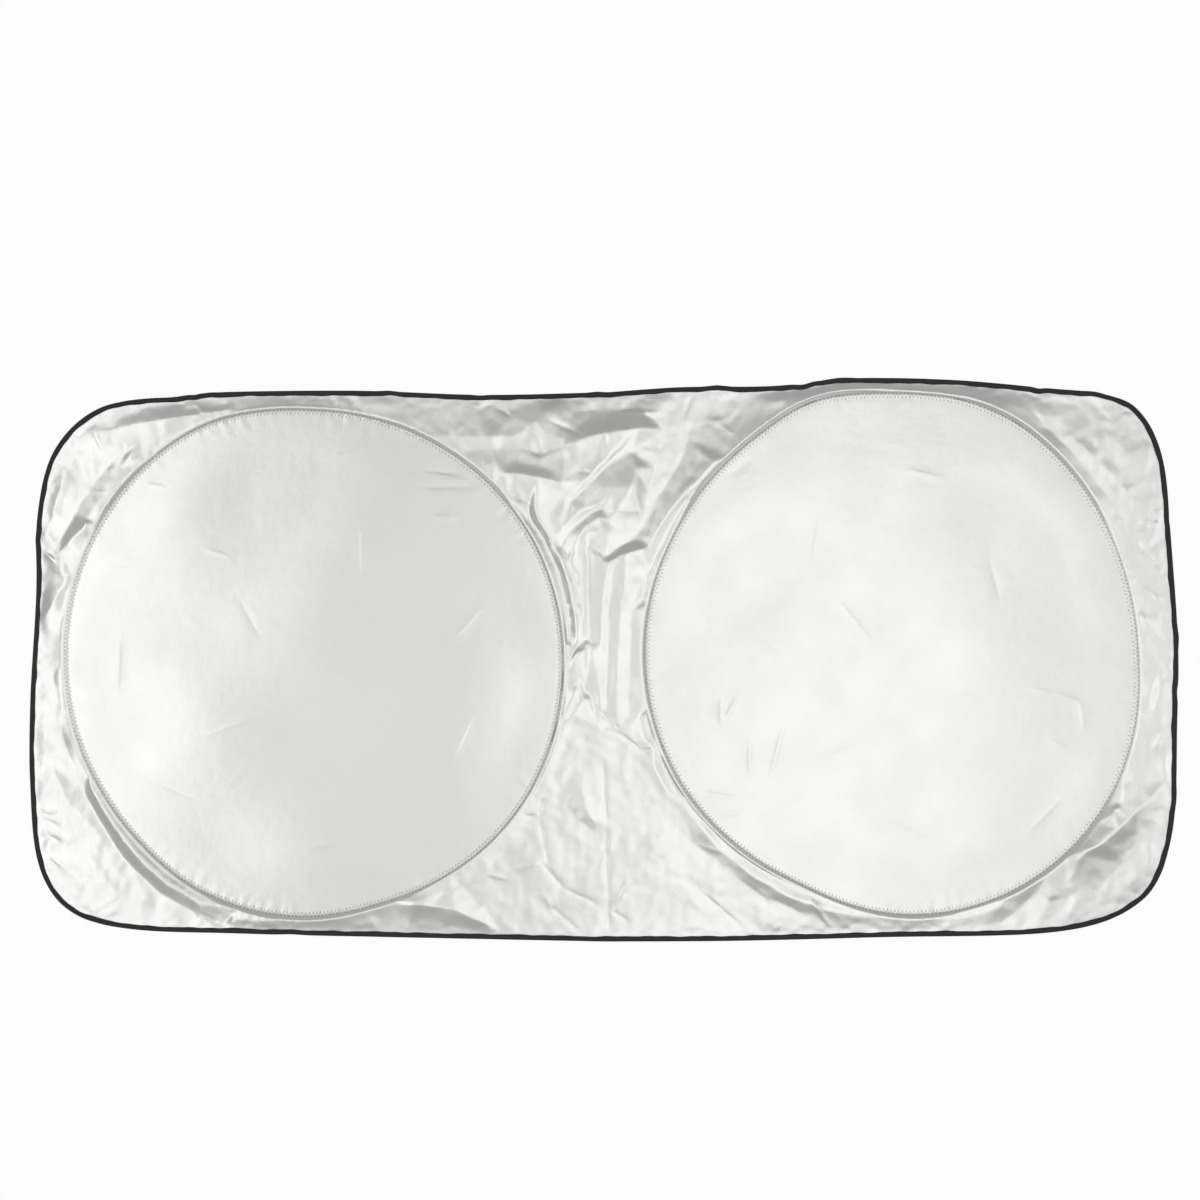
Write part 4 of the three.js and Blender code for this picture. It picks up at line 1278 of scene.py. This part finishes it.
class SUNSHADE_OT_tape_seam(bpy.types.Operator):
    """Models the straight stitching of the edge tape, on both its faces"""

    bl_idname = "sunshade.tape_seam"
    bl_label = "Tape seam"

    def execute(self, context):
        line = resampled(EDGE_LINE, TAPE_STITCH)
        inner = line[:, :2] + TAPE_SEAM_DEPTH * inwards(line)
        runs = []
        for a, b, level in zip(inner, np.roll(inner, -1, axis=0), line[:, 2]):
            for face in (1, -1):
                top = level + TAPE_MIDDLE + face * (TAPE_MIDDLE - 0.06)
                stitch = ((0.08, -0.2), (0.5, 0.12), (0.92, -0.2))
                runs.append(np.array([(*(a + (b - a) * share), top + face * lift) for share, lift in stitch]))
        points, faces = thread_mesh(runs, TAPE_THREAD_RADIUS, 4)
        # The thread is as black as the tape, and stands out from it by its shine alone
        thread = twisted_thread("black_polyester_thread", context.scene.sunshade_colours.tape, "302F33")
        piece = new_mesh("tape_stitching", points, faces, thread)
        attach(piece, BODY)
        return {"FINISHED"}


class SUNSHADE_OT_hoops(bpy.types.Operator):
    """Models the hoops, their sleeves and casings as the uneven loops that the sheet lies over"""

    bl_idname = "sunshade.hoops"
    bl_label = "Hoops and casings"

    def execute(self, context):
        steel, cloth = spring_steel(), cloth_back()
        for side, hoop in HOOPS.items():
            for name, material in (("hoop_wire", steel), ("hoop_sleeve", steel), ("hoop_casing", cloth)):
                node = f"{name}_{side}"
                points = node_points(node)
                angle = beside_ring(hoop, points[:, :2])[1]
                outwards = np.column_stack([np.cos(angle), np.sin(angle)])
                points[:, :2] += loop_shift(hoop, angle)[:, None] * outwards
                faces = [tuple(face.vertices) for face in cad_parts[node].data.polygons]
                piece = new_mesh(f"{node}_loop", points, faces, material)
                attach(piece, BODY)
                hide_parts(node)
        return {"FINISHED"}


class SUNSHADE_OT_cloth_facts(bpy.types.Operator):
    """Does nothing: it returns at once, and states nothing of the cloth's cut size"""

    bl_idname = "sunshade.cloth_facts"
    bl_label = "Cloth facts"

    def execute(self, context):
        return {"FINISHED"}


class SUNSHADE_OT_stage(bpy.types.Operator):
    """Sets up the floor, the lamps, the world and the camera"""

    bl_idname = "sunshade.stage"
    bl_label = "Stage"

    def execute(self, context):
        scene = context.scene
        bpy.ops.object.select_all(action="DESELECT")
        bpy.ops.mesh.primitive_plane_add(size=FLOOR_SIDE, location=(0, 0, FLOOR_LEVEL))
        floor = context.object
        floor.name = "floor"
        floor.data.materials.append(white_floor())
        yaw = math.radians(CAMERA_YAW)
        lens = bpy.data.cameras.new("camera")
        camera = bpy.data.objects.new("camera", lens)
        scene.collection.objects.link(camera)
        camera.location = (CAMERA_DISTANCE * math.sin(yaw), CAMERA_AIM_Y * MM, CAMERA_DISTANCE * math.cos(yaw))
        camera.rotation_euler = (0, yaw, 0)
        lens.sensor_fit = "HORIZONTAL"
        lens.sensor_width = SENSOR_WIDTH
        lens.lens = SENSOR_WIDTH * FOCAL_PIXELS / PICTURE_SIDE
        lens.shift_x = 0.5 - PRINCIPAL_POINT[0] / PICTURE_SIDE
        lens.shift_y = PRINCIPAL_POINT[1] / PICTURE_SIDE - 0.5
        scene.camera = camera
        for name, (place, size, power) in SOFTBOXES.items():
            light = bpy.data.lights.new(name, "AREA")
            light.shape = "RECTANGLE"
            light.size, light.size_y = size
            light.energy = power
            lamp = bpy.data.objects.new(name, light)
            lamp.location = place
            scene.collection.objects.link(lamp)
        # The room: white at the horizon and grey overhead, so that the cloth mirrors grey between the lamps
        world = bpy.data.worlds.new("studio")
        scene.world = world
        world.use_nodes = True
        nodes = world.node_tree.nodes
        nodes.clear()
        place = add_node(nodes, "ShaderNodeTexCoord")
        parts = add_node(nodes, "ShaderNodeSeparateXYZ", None, {0: place.outputs["Generated"]})
        ramp = add_node(nodes, "ShaderNodeValToRGB", None, {"Fac": parts.outputs["Z"]})
        stops = ramp.color_ramp.elements
        stops[0].position, stops[0].color = 0.12, linear("FFFFFF")
        stops[1].position, stops[1].color = 0.3, linear("9E9E9E")
        sky = add_node(nodes, "ShaderNodeBackground", {"Strength": 1.0}, {"Color": ramp.outputs["Color"]})
        add_node(nodes, "ShaderNodeOutputWorld", None, {"Surface": sky.outputs["Background"]})
        scene.view_settings.view_transform = "Standard"
        return {"FINISHED"}


class SUNSHADE_PT_panel(bpy.types.Panel):
    """Lists the pieces in the sidebar"""

    bl_label = "Sunshade"
    bl_idname = "SUNSHADE_PT_panel"
    bl_space_type = "VIEW_3D"
    bl_region_type = "UI"
    bl_category = "Sunshade"

    def draw(self, context):
        for group in (context.scene.sunshade_sizes, context.scene.sunshade_colours):
            for key in group.__annotations__:
                self.layout.prop(group, key)
        for operator in OPERATORS:
            self.layout.operator(operator.bl_idname)


OPERATORS = (
    SUNSHADE_OT_sheet,
    SUNSHADE_OT_hoop_seams,
    SUNSHADE_OT_edge_tape,
    SUNSHADE_OT_tape_seam,
    SUNSHADE_OT_hoops,
    SUNSHADE_OT_stage,
    SUNSHADE_OT_cloth_facts,
)
CLASSES = (SunshadeSizes, SunshadeColours, *OPERATORS, SUNSHADE_PT_panel)


def register():
    for kind in CLASSES:
        bpy.utils.register_class(kind)
    bpy.types.Scene.sunshade_sizes = bpy.props.PointerProperty(type=SunshadeSizes)
    bpy.types.Scene.sunshade_colours = bpy.props.PointerProperty(type=SunshadeColours)


def unregister():
    del bpy.types.Scene.sunshade_sizes
    del bpy.types.Scene.sunshade_colours
    for kind in reversed(CLASSES):
        bpy.utils.unregister_class(kind)


def main():
    register()
    bpy.ops.sunshade.sheet()
    bpy.ops.sunshade.hoop_seams()
    bpy.ops.sunshade.edge_tape()
    bpy.ops.sunshade.tape_seam()
    bpy.ops.sunshade.hoops()
    bpy.ops.sunshade.stage()
    bpy.ops.sunshade.cloth_facts()


if __name__ == "__main__":
    main()
